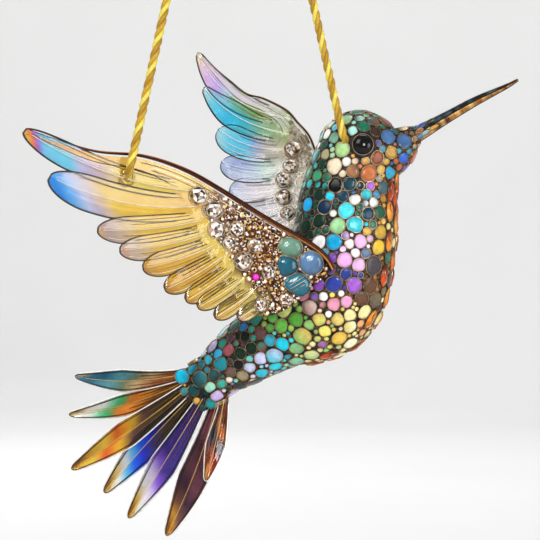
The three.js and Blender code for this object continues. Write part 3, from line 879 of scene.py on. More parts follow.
@dataclass
class TwistedCord:
    """Three twisted strands from the knot behind the right wing, over the hook, into the head."""

    diameter: float = 0.003
    strand_radius: float = 0.00074
    strand_offset: float = 0.00074
    pitch: float = 0.0100
    step: float = 0.0006
    strand_sides: int = 9
    knot_centre: Triple = (-0.0477, -0.0364, 0.0300)
    knot_radius: float = 0.0019
    knot_thread: float = 0.0010
    tints: tuple[str, str, str] = ("b48a14", "c9a01e", "f0de5c")
    route: tuple[Triple, ...] = (
        (-0.0471, -0.0399, 0.0301), (-0.0467, -0.0423, 0.0305), (-0.0461, -0.0444, 0.0319),
        (-0.0454, -0.0456, 0.0340), (-0.0449, -0.0458, 0.0360), (-0.0402, -0.0439, 0.0584),
        (-0.0355, -0.0421, 0.0807), (-0.0308, -0.0402, 0.1031), (-0.0260, -0.0384, 0.1255),
        (-0.0213, -0.0365, 0.1478), (-0.0166, -0.0347, 0.1702), (-0.0158, -0.0343, 0.1724),
        (-0.0144, -0.0337, 0.1741), (-0.0125, -0.0330, 0.1752), (-0.0104, -0.0321, 0.1757),
        (-0.0082, -0.0312, 0.1753), (-0.0064, -0.0304, 0.1742), (-0.0049, -0.0298, 0.1725),
        (-0.0040, -0.0294, 0.1704), (0.0007, -0.0273, 0.1499), (0.0055, -0.0252, 0.1294),
        (0.0103, -0.0231, 0.1089), (0.0151, -0.0210, 0.0883), (0.0198, -0.0189, 0.0678),
        (0.0246, -0.0169, 0.0473), (0.0252, -0.0164, 0.0454), (0.0259, -0.0154, 0.0438),
        (0.0281, -0.0122, 0.0399),
    )

    def centreline(self) -> Array:
        """Evenly spaced places along the middle of the cord.

        Returns:
            The places, from the knot to the head.
        """
        fine = spline(self.route, np.linspace(0, 1, 4000), even=False)
        run = np.concatenate(([0.0], np.cumsum(np.linalg.norm(np.diff(fine, axis=0), axis=1))))
        stops = np.linspace(0, run[-1], int(run[-1] / self.step) + 1)
        return np.stack([np.interp(stops, run, fine[:, k]) for k in range(3)], axis=-1)

    def length(self) -> float:
        """Length of the centreline."""
        return float(np.sum(np.linalg.norm(np.diff(self.centreline(), axis=0), axis=1)))

    def build(self) -> None:
        knot = self.knot()
        path = self.centreline()
        across, lifted = carried(path)
        phase = TURN * self.step * np.arange(len(path)) / self.pitch
        maker = MeshMaker()
        for number, code in enumerate(self.tints):
            angle = (phase + TURN * number / len(self.tints))[:, None]
            strand = path + self.strand_offset * (across * np.cos(angle) + lifted * np.sin(angle))
            maker.tube(strand, self.strand_radius, shade(code), self.strand_sides)
        cord = settle(maker.build("twisted_cord", (GOLD_THREAD,), 80.0), "gold_cord", ["hanging_cord"])
        self.length()

    def knot(self) -> Piece:
        """Tied knot: one thread that winds three times through itself.

        Returns:
            The knot.
        """
        turn = np.linspace(0, TURN, 90)
        wave = self.knot_radius * (0.62 + 0.38 * np.cos(3 * turn))
        aside = 0.9 * self.knot_radius * np.sin(3 * turn)
        path = np.stack((wave * np.cos(2 * turn), aside, wave * np.sin(2 * turn)), axis=-1)
        maker = MeshMaker()
        maker.tube(path + np.array(self.knot_centre), self.knot_thread, shade(self.tints[0]), 10)
        return settle(maker.build("cord_knot", (GOLD_THREAD,), 80.0), "gold_cord", ["wing_knot"])


# Stones

RIM_HEIGHT = 0.00022
RIM_WALL = 0.00016
BED_DEPTH = 0.0010
# Fixed angle of a stone's first colour, towards its upper side: where that colour is a lighter copy of the
# second, it is painted light from above
PAINTED_LIGHT_TURN = 2.2
DOME_PROFILE = ((0.0, 1.0), (0.62, 0.86), (0.92, 0.58), (1.0, 0.16))


@dataclass
class Stone:
    """One domed stone.

    Args:
        point: middle of its foot.
        normal: direction it faces.
        radius: half its mean width.
        outline: reach in each of evenly spaced directions, or None for a round one.
    """

    point: Array
    normal: Array
    radius: float
    outline: Optional[Array] = None

    @property
    def spot(self) -> Spot:
        """Middle and radius."""
        return self.point, self.radius

    def sides(self) -> int:
        """Number of sides that suits the size."""
        return 8 if self.radius < 0.0009 else 12 if self.radius < 0.0016 else 18

    def wheel(self, sides: int, start: float = 0.0) -> Array:
        """Unit directions evenly round the stone, the first at an angle."""
        first, second = side_frame(self.normal)
        return np.outer(np.cos(around(sides, start)), first) + np.outer(np.sin(around(sides, start)), second)

    def oval(self, line: Array, halves: Pair) -> "Stone":
        """Gives the stone an oval outline.

        Args:
            line: unit direction along it.
            halves: half its length and half its width.

        Returns:
            The same stone.
        """
        wheel = self.wheel(22)
        along, beside = wheel @ line, wheel @ np.cross(self.normal, line)
        self.outline = 1 / np.sqrt((along / halves[0]) ** 2 + (beside / halves[1]) ** 2)
        return self


def fit_outlines(stones: Sequence[Stone], others: Sequence[Spot], gap: float, spread: float) -> None:
    """Shapes stones so that they fill the room up to their neighbours and leave an even joint.

    Args:
        stones: stones that take an outline.
        others: middles and radii of round things that also take room.
        gap: width of the joint.
        spread: how far a stone may grow, as a share of its radius.
    """
    spots = [stone.spot for stone in stones] + list(others)
    radii = [radius for _, radius in spots]
    tree = spot_tree([middle for middle, _ in spots])
    for number, stone in enumerate(stones):
        wheel = stone.wheel(stone.sides())
        reach = np.full(len(wheel), spread * stone.radius)
        for place, other, _ in tree.find_range(stone.point, spread * stone.radius + max(radii)):
            away = np.array(place) - stone.point
            away -= stone.normal * (away @ stone.normal)
            far = float(np.linalg.norm(away))
            if other == number or far < 1e-5:
                continue
            border = (far ** 2 + stone.radius ** 2 - radii[other] ** 2) / (2 * far)
            facing = wheel @ (away / far)
            near = facing > 0.1
            reach[near] = np.minimum(reach[near], border / facing[near])
        reach = np.maximum(reach - gap / 2, 0.4 * stone.radius)
        stone.outline = (np.roll(reach, 1) + 2 * reach + np.roll(reach, -1)) / 4


def set_stone(maker: MeshMaker, stone: Stone, tints: tuple[Array, Array], rise: float,
              turn: float = PAINTED_LIGHT_TURN, rim: float = RIM_HEIGHT) -> None:
    """Adds one domed stone, with or without a thin metal rim; painted light makes its middle brighter and
    painted shade its edge darker.

    Args:
        maker: mesh that takes the stone; its finish 0 is the stone and 1 the rim.
        stone: place, size and outline.
        tints: colours of its two ends; a lighter and a darker copy of one colour make painted light and
            shade.
        rise: height of the dome.
        turn: angle from its first colour to its second; the default puts the first colour on the stone's
            upper side, as painted light.
        rim: height of the rim, or 0 for a stone without one.
    """
    sides = stone.sides() if stone.outline is None else len(stone.outline)
    reach = np.full(sides, stone.radius) if stone.outline is None else stone.outline
    wheel = stone.wheel(sides)
    wall = RIM_WALL if rim else 0.0
    profile = [(-BED_DEPTH, 1.0, 0.0)] + ([(rim, 1.0, 0.0), (rim, 1.0, wall)] if rim else [])
    profile += [(0.4 * rim + rise * height, share, wall) for height, share in DOME_PROFILE]
    swing = np.cos(around(sides) - turn)
    rings, colours = [], []
    for height, share, inset in profile:
        rings.append(stone.point + stone.normal * height + wheel * ((reach - inset) * share)[:, None])
        blend = (0.5 + 0.5 * share * swing)[:, None]
        # Painted glow and shade: each stone brighter in its middle, darker towards its edge
        painted_glow = 1.10 - 0.35 * share ** 4
        colours.append(painted_glow * (tints[0] * blend + tints[1] * (1 - blend)))
    spans = [1 if rim and number < 3 else 0 for number in range(len(rings) - 1)]
    maker.loft(np.array(rings), np.clip(np.array(colours), 0, 1), spans)


# Body

@dataclass
class Body:
    """Cast body: a trunk along the spine, a face that runs into the beak, and two shoulders."""

    spine: tuple[tuple[float, float, float, float], ...] = (
        (0.0355, 0.0546, 0.0132, 0.0116), (0.0316, 0.0416, 0.0143, 0.0120),
        (0.0278, 0.0260, 0.0165, 0.0134), (0.0256, 0.0087, 0.0183, 0.0158),
        (0.0187, -0.0104, 0.0199, 0.0156), (0.0024, -0.0216, 0.0138, 0.0118),
        (-0.0121, -0.0314, 0.0103, 0.0080), (-0.0186, -0.0365, 0.0086, 0.0060),
        (-0.0232, -0.0403, 0.0094, 0.0052),
    )
    face: tuple[Triple, ...] = (
        (0.0360, 0.0410, 0.0116), (0.0416, 0.0420, 0.0106), (0.0456, 0.0432, 0.0074),
        (0.0486, 0.0452, 0.0047), (0.0522, 0.0477, 0.0028),
    )
    face_width: float = 0.85
    shoulder_radius: float = 0.0080
    shoulders: tuple[Triple, Triple] = ((0.0125, -0.0132, 0.0010), (0.0135, 0.0062, 0.0040))
    sides: int = 64
    trunk_rings: int = 96
    face_rings: int = 24
    voxel: float = 0.0006
    eye_place: Pair = (0.0342, 0.0426)
    eye_radius: float = 0.0037
    eye_height: float = 0.0027
    eye_sink: float = 0.0006

    @property
    def crown(self) -> float:
        """Share of the spine under the domed crown."""
        return 1 / (len(self.spine) - 1)

    def surface(self, share: Array, angle: Array) -> Array:
        """Places on the trunk.

        Args:
            share: shares of the spine, from crown to tail root.
            angle: angles from the back round by the left side.

        Returns:
            One place for each pair.
        """
        share = np.asarray(share, float)
        line = np.array(self.spine)
        centre, ahead = spline(line[:, :2], share), headings(line[:, :2], share)
        dome = np.sqrt(np.clip(1 - np.clip(1 - share / self.crown, 0, None) ** 2, 0, 1))
        girth = spline(line[:, 2:], share) * dome[:, None]
        across, aside = girth[:, 0] * np.cos(angle), girth[:, 1] * np.sin(angle)
        places = (centre[:, 0] + ahead[:, 1] * across, aside, centre[:, 1] - ahead[:, 0] * across)
        return turned(np.stack(places, axis=-1))

    def seat(self, share: float, angle: float, radius: float) -> Stone:
        """Stone on the trunk.

        Args:
            share: share of the spine.
            angle: angle from the back round by the left side.
            radius: half the stone's width.

        Returns:
            The stone, facing outwards.
        """
        step = 0.002
        shares = np.array((share + step, share - step, share, share, share))
        angles = np.array((angle, angle, angle + step, angle - step, angle))
        down, up, left, right, point = self.surface(shares, angles)
        return Stone(point, unit(np.cross(left - right, down - up)), radius)

    def eye_seat(self, side: Side) -> Stone:
        """Seat of an eye.

        Args:
            side: side of the head.

        Returns:
            The seat, as a stone of the eye's size.
        """
        shares, angles = np.arange(1, 200) / 400, side.value * math.pi * np.arange(61) / 60
        shares, angles = (grid.ravel() for grid in np.meshgrid(shares, angles, indexing="ij"))
        places = turned(self.surface(shares, angles), BODY_TURN)
        best = int(np.argmin(np.linalg.norm(places[:, (0, 2)] - self.eye_place, axis=1)))
        return self.seat(float(shares[best]), float(angles[best]), self.eye_radius)

    def skin(self) -> Mesh:
        """Joined smooth skin of trunk, face and shoulders.

        Returns:
            The bare mesh.
        """
        maker = MeshMaker()
        white = shade("ffffff")
        angles = around(self.sides)
        dome = self.crown * (1 - np.cos(np.linspace(0.02, 1, 20) * QUARTER))
        shares = np.concatenate((dome, np.linspace(self.crown, 1, self.trunk_rings)[1:]))
        maker.loft(np.array([self.surface(np.full(self.sides, share), angles) for share in shares]), white)
        line = spline(self.face, np.linspace(0, 1, self.face_rings))
        maker.loft(rings_round(line, angles, width=self.face_width), white)
        polar = np.linspace(0.03, math.pi - 0.03, 24)
        ball = np.array([level_ring(np.sin(slope), np.cos(slope), self.sides) for slope in polar])
        for centre in self.shoulders:
            maker.loft(np.array(centre) + self.shoulder_radius * ball, white)
        rough = maker.build("body_rough", ())
        remesh = rough.modifiers.new("skin", "REMESH")
        remesh.mode = "VOXEL"
        remesh.voxel_size = self.voxel
        soften = rough.modifiers.new("soften", "SMOOTH")
        soften.factor = 0.5
        soften.iterations = 8
        return solved([rough])

    def build(self, mosaic: "Mosaic") -> None:
        """Makes the ground, the mosaic on it and the eyes.

        Args:
            mosaic: rules for the stones.
        """
        mesh = self.skin()
        points, normals = np.empty(3 * len(mesh.vertices)), np.empty(3 * len(mesh.vertices))
        mesh.vertices.foreach_get("co", points)
        mesh.vertex_normals.foreach_get("vector", normals)
        points, normals = points.reshape(-1, 3) + HOOK_SEAT, normals.reshape(-1, 3)
        tints = mosaic.ground_tint(points, normals)[corner_vertices(mesh)]
        settle(dressed(mesh, "body_ground", tints, (DARK_GROUND,)), "mosaic", ["body"])
        eyes = [self.eye_seat(side) for side in Side]
        mosaic.build(self, points, normals, eyes)
        for side, eye in zip(Side, eyes):
            self.eye(side, eye)

    def eye(self, side: Side, seat: Stone) -> None:
        """One black bead in a silver ring.

        Args:
            side: side of the head.
            seat: where the bead sits.
        """
        maker = MeshMaker()
        wheel = self.eye_radius * seat.wheel(40)
        rings = [seat.point - seat.normal * self.eye_sink + 0.97 * wheel]
        for slope in np.linspace(0, 0.97, 14) * QUARTER:
            height = 0.0003 + (self.eye_height - 0.0009) * math.sin(slope)
            rings.append(seat.point + seat.normal * height + 0.93 * math.cos(slope) * wheel)
        maker.loft(np.array(rings), shade("08080a"))
        rim = np.vstack((wheel, wheel[:1]))
        maker.hoop(seat.point + seat.normal * 0.0005 + 0.98 * rim, 0.00011, shade("8a7a68"), 1)
        maker.hoop(seat.point + seat.normal * 0.0003 + 1.14 * wheel, 0.00022, shade("2a2420"), 1)
        name = side.name.lower()
        settle(maker.build(f"{name}_eye_bead", (EYE_BLACK, EDGE_METAL), 60.0), "eye_bead", [f"{name}_eye"])


# Mosaic

def cast_draws(state: int) -> Iterator[float]:
    """Endless numbers from 0 to 1, the same ones that the solid body's stones are set by.

    Args:
        state: the seed.

    Yields:
        The next number.
    """
    factor, step, span = 1664525, 1013904223, 2 ** 32
    while True:
        state = (state * factor + step) % span
        yield state / span


@dataclass
class Mosaic:
    """Stones over the whole body, the largest first and crumbs in the gaps."""

    seed: int = 20261
    cast_sizes: tuple[tuple[float, int], ...] = ((0.0032, 70), (0.0025, 30))
    cast_span: Pair = (0.02, 0.93)
    cast_spacing: float = 0.00035
    fill_seed: int = 77
    fill_sizes: tuple[Size, ...] = (
        (0.0021, 0.0027, 2500), (0.0015, 0.0021, 9000), (0.0010, 0.0015, 16000), (0.0006, 0.0010, 16000),
    )
    spacing: float = 0.00008
    joint: float = 0.00022
    spread: float = 1.28
    rimmed: float = 0.0010
    large: float = 0.0014
    eye_room: float = 0.0043
    hole_rooms: Pair = (0.0031, 0.0019)
    beak_ends: tuple[Triple, Triple] = ((0.0439, 0.0, 0.0439), (0.0522, 0.0, 0.0477))
    beak_rooms: Pair = (0.0061, 0.0026)
    shoulder_rooms: Pair = (0.0105, 0.0062)
    shoulder_shift: float = 0.006
    flame_pairs: tuple[tuple[str, str], ...] = (
        ("ffb040", "c83a10"), ("ff8020", "4a0e06"), ("ffd060", "e86018"), ("f0581c", "200604"),
        ("ffa030", "8a220a"),
    )
    main_stones: tuple[Dot, ...] = (
        (0.0131, 0.0222, 0.0024, "18a8e8"), (0.0187, 0.0215, 0.0026, "0a2a48"),
        (0.0202, 0.0250, 0.0016, "20c8e8"), (0.0198, 0.0469, 0.0020, "f8f6ee"),
        (0.0252, 0.0037, 0.0026, "eaa8e0"), (0.0301, 0.0016, 0.0022, "f0b8e8"),
        (0.0215, -0.0046, 0.0027, "2c3a90"), (0.0285, -0.0050, 0.0026, "9a5ac0"),
        (0.0163, -0.0048, 0.0019, "8a4ab0"), (0.0179, -0.0092, 0.0015, "fbf8f4"),
        (0.0259, -0.0108, 0.0020, "e8a0c8"), (0.0041, -0.0252, 0.0024, "18c8e0"),
        (-0.0031, -0.0302, 0.0024, "c8c8ee"), (0.0017, -0.0331, 0.0023, "20c8d8"),
        (0.0089, -0.0168, 0.0025, "5aa838"), (0.0041, -0.0192, 0.0024, "6ab848"),
        (0.0231, -0.0170, 0.0022, "f0d878"), (0.0186, -0.0209, 0.0022, "f4e070"),
        (0.0239, -0.0231, 0.0028, "e8c050"), (-0.0144, -0.0279, 0.0019, "a0505c"),
        (0.0091, -0.0269, 0.0024, "90c888"), (0.0247, 0.0410, 0.0027, "a8d088"),
        (0.0190, 0.0397, 0.0019, "a8a47c"), (0.0322, 0.0490, 0.0022, "1f6a50"),
        (0.0413, 0.0400, 0.0021, "c89838"), (0.0455, 0.0382, 0.0019, "3a68c8"),
        (0.0411, 0.0335, 0.0024, "38a0c4"), (0.0334, 0.0330, 0.0028, "b8683a"),
        (0.0220, 0.0290, 0.0026, "040a08"), (0.0162, 0.0325, 0.0020, "3f9a70"),
        (0.0259, 0.0200, 0.0027, "48d0dc"), (0.0229, 0.0150, 0.0026, "a0d898"),
        (0.0217, 0.0095, 0.0027, "14a8dc"), (0.0291, 0.0240, 0.0017, "f4f4f0"),
        (0.0353, 0.0232, 0.0016, "e8f4f4"), (0.0343, 0.0285, 0.0015, "9a58b8"),
        (0.0387, 0.0279, 0.0022, "4a6a70"), (0.0375, 0.0200, 0.0022, "2f5a44"),
        (0.0378, 0.0132, 0.0023, "c8a040"), (0.0369, 0.0077, 0.0024, "d8b038"),
        (0.0308, 0.0097, 0.0023, "eab0e8"), (0.0268, 0.0092, 0.0016, "f4e8f4"),
        (0.0123, 0.0150, 0.0026, "06281c"), (0.0182, -0.0253, 0.0016, "b070b0"),
        (-0.0033, -0.0216, 0.0020, "6a4444"), (-0.0086, -0.0228, 0.0020, "0a1a14"),
        (-0.0091, -0.0196, 0.0018, "2478b8"), (-0.0062, -0.0269, 0.0022, "0c2a1a"),
        (-0.0103, -0.0290, 0.0022, "0c2a1a"), (-0.0182, -0.0294, 0.0018, "2a9ac4"),
        (-0.0215, -0.0315, 0.0016, "38b8d0"), (-0.0070, -0.0335, 0.0019, "c8d0ec"),
        (-0.0165, -0.0398, 0.0017, "3fae98"), (-0.0095, -0.0365, 0.0020, "a09070"),
        (-0.0030, -0.0356, 0.0022, "30c4dc"), (-0.0128, -0.0428, 0.0024, "c0a8e0"),
        (-0.0138, -0.0354, 0.0017, "6a5048"), (-0.0111, -0.0327, 0.0018, "0a0f0c"),
    )
    tail_limit: float = -0.0180
    tail_facing: Triple = (-0.77, 0.0, -0.64)
    flame_columns: tuple[float, ...] = (-0.50, -0.19, 0.12, 0.43)
    flame_span: Pair = (0.185, 0.60)
    flame_step: float = 0.066
    flame_half: Pair = (0.0038, 0.0019)
    flame_radius: float = 0.0026
    flame_rise: float = 0.0008
    stone_rise: Pair = (0.00010, 0.08)
    two_coloured: float = 0.3
    overlap: float = 0.6
    border_blur: float = 0.0022
    zones: tuple[tuple[float, float, str], ...] = (
        (0.0333, 0.0509, "1f6b52 3a2a20 0f3d33 9fd8cf 5a2e1a 2f7f63"),
        (0.0433, 0.0503, "4a2a1c 7a4426 2a5a5a 8a6a40 203a3a"),
        (0.0207, 0.0459, "f2f0e4 62c9d6 a9cfa0 9a9a5e 7fb59a"),
        (0.0145, 0.0340, "1f8f8f 2fb5b5 123c2c 3f7d5c 1a5a50"),
        (0.0270, 0.0352, "8a5a3c e6d3b5 c9a184 6b5a40 a8784f"),
        (0.0339, 0.0340, "a5623a d9a050 d0764a 8a4a2a"),
        (0.0433, 0.0385, "c9a04a 3f8fa8 4a6f9e 5a3fae c9643f 3a7fb0"),
        (0.0270, 0.0290, "06090c 0e2030 16343c 0a0f12 1d4450 3a2a5a 101a20"),
        (0.0295, 0.0215, "35c0cc f5f5f0 1f5f8f 1f5a4a 2f7fae 16384a 0f4a44"),
        (0.0158, 0.0190, "0a1a16 0f3326 14503f 0a2a24 1a6a60"),
        (0.0370, 0.0146, "d0a648 e0cf8a 2f7a5a 3f5f50 c98f3c"),
        (0.0295, 0.0065, "e6b5e0 f5e6f2 fbf8f6 2fc4d6 5a6f8f d9a0dc"),
        (0.0270, -0.0029, "5a3a8f 2f3f8f 9a6ac0 3a3a55 7a4ab0"),
        (0.0370, -0.0054, "6b4a35 7a6a50 5a2f24 9a6a3c 4a4448"),
        (0.0195, -0.0104, "f5f2ea d98aa0 8a5f50 7a55a0 e8c8c0"),
        (0.0282, -0.0166, "f2e6a0 e6d060 f5efc8 d9b85a e0a070 efd98a"),
        (0.0070, -0.0166, "5fae4a 9ac45a 8a8f5a c8d47a 4a8f3f"),
        (0.0135, -0.0229, "f2e8a8 c8d070 d9b85a efe0a0 8fbf6a"),
        (0.0027, -0.0256, "1fc4d0 35d0d8 8fd0a8 2fa0b8 7fc890"),
        (-0.0108, -0.0256, "0c1f18 1f7f8a 7a3f3a 5a3a4a 123028 2f8f7f"),
        (-0.0054, -0.0337, "d5d0ea 35c8d4 8fd0a8 7a5a50 b8c8e8"),
        (-0.0203, -0.0270, "35b0c8 9fd8e8 1f8f9f b8b0dc 2a6a70"),
        (-0.0250, -0.0371, "1fb0cc 123028 2f7f8a 1a2a24 2a5a60"),
        (-0.0135, -0.0432, "c8b0e0 e8e0d0 8fc8b0 9a80b8 2a3a34"),
    )

    def cast_stones(self, body: Body, clear: Sequence[Spot]) -> list[Stone]:
        """The larger stones, in the places where the solid body has them.

        Args:
            body: the body that carries them.
            clear: middles and radii of places that stay free.

        Returns:
            The stones in the order in which they are set.
        """
        draw = cast_draws(self.seed)
        first, last = self.cast_span
        stones: list[Stone] = []
        for radius, tries in self.cast_sizes:
            for _ in range(tries):
                seat = body.seat(first + (last - first) * next(draw), TURN * next(draw), radius)
                kept = [*clear, *((stone.point, stone.radius + self.cast_spacing) for stone in stones)]
                if all(np.linalg.norm(middle - seat.point) > reach + radius for middle, reach in kept):
                    stones.append(seat)
        return stones

    def palette(self, point: Array, draw: Draw) -> Array:
        """Colours of the zone that a place falls in, with soft borders.

        Args:
            point: the place.
            draw: random numbers for the borders.

        Returns:
            The zone's colours.
        """
        jitter = draw.normal(0.0, self.border_blur, 2)
        miss = [math.hypot(x - point[0] + jitter[0], z - point[2] + jitter[1]) for x, z, _ in self.zones]
        return shades(self.zones[int(np.argmin(miss))][2])

    def flames(self, body: Body) -> list[tuple[Stone, Array]]:
        """Long stones down the throat and breast, each with its long direction.

        Args:
            body: the body that carries them.

        Returns:
            Pairs of a stone and the unit direction along it.
        """
        made = []
        for column, offset in enumerate(self.flame_columns):
            start, angle = self.flame_span[0] + 0.5 * self.flame_step * (column % 2), math.pi + offset
            for share in np.arange(start, self.flame_span[1], self.flame_step):
                stone = body.seat(float(share), angle, self.flame_radius)
                ends = body.surface(np.array((share - 0.01, share + 0.01)), np.array((angle, angle)))
                line = ends[1] - ends[0]
                line = unit(line - stone.normal * (line @ stone.normal))
                made.append((stone.oval(line, self.flame_half), line))
        return made

    def ground_tint(self, points: Array, normals: Array) -> Array:
        """Crumb colour of the ground: copper and gold in front and below, dark green and brown elsewhere.

        Args:
            points: places on the skin.
            normals: normals at those places.

        Returns:
            One colour for each place.
        """
        forward = np.clip(normals @ turned(np.array((0.8, 0.0, -0.6))), 0, 1)[:, None]
        low = np.clip((0.006 - points[:, 2:]) / 0.03, 0, 1)
        warm = np.clip(forward * 0.9 + 0.35 * low, 0, 1)
        return warm * shade("d98a3a") + (1 - warm) * shade("5a4a34")

    def on_side(self, points: Array, normals: Array) -> list[Stone]:
        """Main stones, on the right side of the skin.

        Args:
            points: places on the skin.
            normals: normals at those places.

        Returns:
            One stone for each of main_stones.
        """
        stones = []
        hidden = np.where(normals[:, 1] < -0.15, 0.0, 1.0)
        for x, z, radius, _ in self.main_stones:
            best = int(np.argmin(np.hypot(points[:, 0] - x, points[:, 2] - z) + hidden))
            stones.append(Stone(points[best], normals[best], radius))
        return stones

    def build(self, body: Body, points: Array, normals: Array, eyes: list[Stone]) -> None:
        """Sets all the stones.

        Args:
            body: the body that carries them.
            points: places on the skin.
            normals: normals at those places.
            eyes: seats of the eyes.
        """
        hole, shoulders = np.array(TwistedCord().route[-3]), np.array(body.shoulders)
        beak_root, beak_end = turned(np.array(self.beak_ends))
        eye_spots = [(eye.point, self.eye_room) for eye in eyes]
        cast_clear = eye_spots + [(hole, self.hole_rooms[0]), (beak_root, self.beak_rooms[0])]
        cast_clear += [(centre, self.shoulder_rooms[0]) for centre in shoulders]
        flames = self.flames(body)
        long_half, short_half = self.flame_half
        flame_spots = [(stone.point + line * shift * (long_half - short_half), short_half)
                       for stone, line in flames for shift in (-1.0, 0.0, 1.0)]
        stones = self.on_side(points, normals)
        taken = flame_spots + [stone.spot for stone in stones]
        stones += [stone for stone in self.cast_stones(body, cast_clear)
                   if all(np.linalg.norm(stone.point - middle) > self.overlap * stone.radius + reach
                          for middle, reach in taken)]
        clear = eye_spots + flame_spots + [(hole, self.hole_rooms[1]), (beak_end, self.beak_rooms[1])]
        clear += [(centre + np.array((0.0, side.value * self.shoulder_shift, 0.0)), self.shoulder_rooms[1])
                  for centre, side in zip(shoulders, Side)]
        open_skin = (points[:, 0] > self.tail_limit) | (normals @ np.array(self.tail_facing) < 0.5)
        skin = np.hstack((points, normals))[open_skin]
        draw = np.random.RandomState(self.fill_seed)
        rows = scatter(clear + [stone.spot for stone in stones], self.fill_sizes,
                       lambda tries: skin[draw.randint(0, len(skin), tries)], self.spacing)
        stones += [Stone(row[:3], row[3:], radius) for row, radius in rows]
        fit_outlines(stones, clear, self.joint, self.spread)
        self.lay(stones, flames)

    def lay(self, stones: list[Stone], flames: list[tuple[Stone, Array]]) -> None:
        """Gives the stones their colours and makes the pieces.

        Args:
            stones: fitted stones, the main ones first.
            flames: long stones with their directions.
        """
        large, small = MeshMaker(), MeshMaker()
        draw = np.random.RandomState(self.fill_seed + 1)
        for number, stone in enumerate(stones):
            colours = self.palette(stone.point, draw)
            if number < len(self.main_stones):
                colours = shades(self.main_stones[number][3])
            first = colours[draw.randint(len(colours))]
            mixed = draw.rand() < self.two_coloured
            second = colours[draw.randint(len(colours))] if mixed else first * draw.uniform(0.6, 1.3)
            turn = draw.uniform(0, TURN)
            rim = RIM_HEIGHT if stone.radius > self.rimmed else 0.0
            maker = large if stone.radius > self.large else small
            rise = self.stone_rise[0] + self.stone_rise[1] * stone.radius
            set_stone(maker, stone, (first, np.clip(second, 0, 1)), rise, turn, rim)
        for stone, line in flames:
            first, second = self.flame_pairs[draw.randint(len(self.flame_pairs))]
            set_stone(large, stone, (shade(first), shade(second)), self.flame_rise, draw.uniform(0, TURN))
            self.swirl(large, stone, line)
        LOG.info("mosaic: %d stones", len(stones) + len(flames))
        for name, maker in (("mosaic_stones", large), ("mosaic_crumbs", small)):
            settle(maker.build(name, (ENAMEL, RIM_METAL), 50.0), "mosaic")

    def swirl(self, maker: MeshMaker, stone: Stone, line: Array) -> None:
        """Fine gold wire that winds along one long stone.

        Args:
            maker: mesh that takes the wire.
            stone: the long stone.
            line: its long direction.
        """
        run = np.linspace(-1, 1, 15)[:, None]
        beside = np.cross(stone.normal, line)
        height = self.flame_rise * np.sqrt(np.clip(1 - 0.7 * run ** 2, 0, 1)) + 0.00005
        path = (stone.point + line * run * 0.78 * self.flame_half[0]
                + beside * np.sin(math.pi * 1.2 * run) * 0.42 * self.flame_half[1] + stone.normal * height)
        maker.tube(path, 0.00021, shade("ffe080"), 5, 1)


# Beak

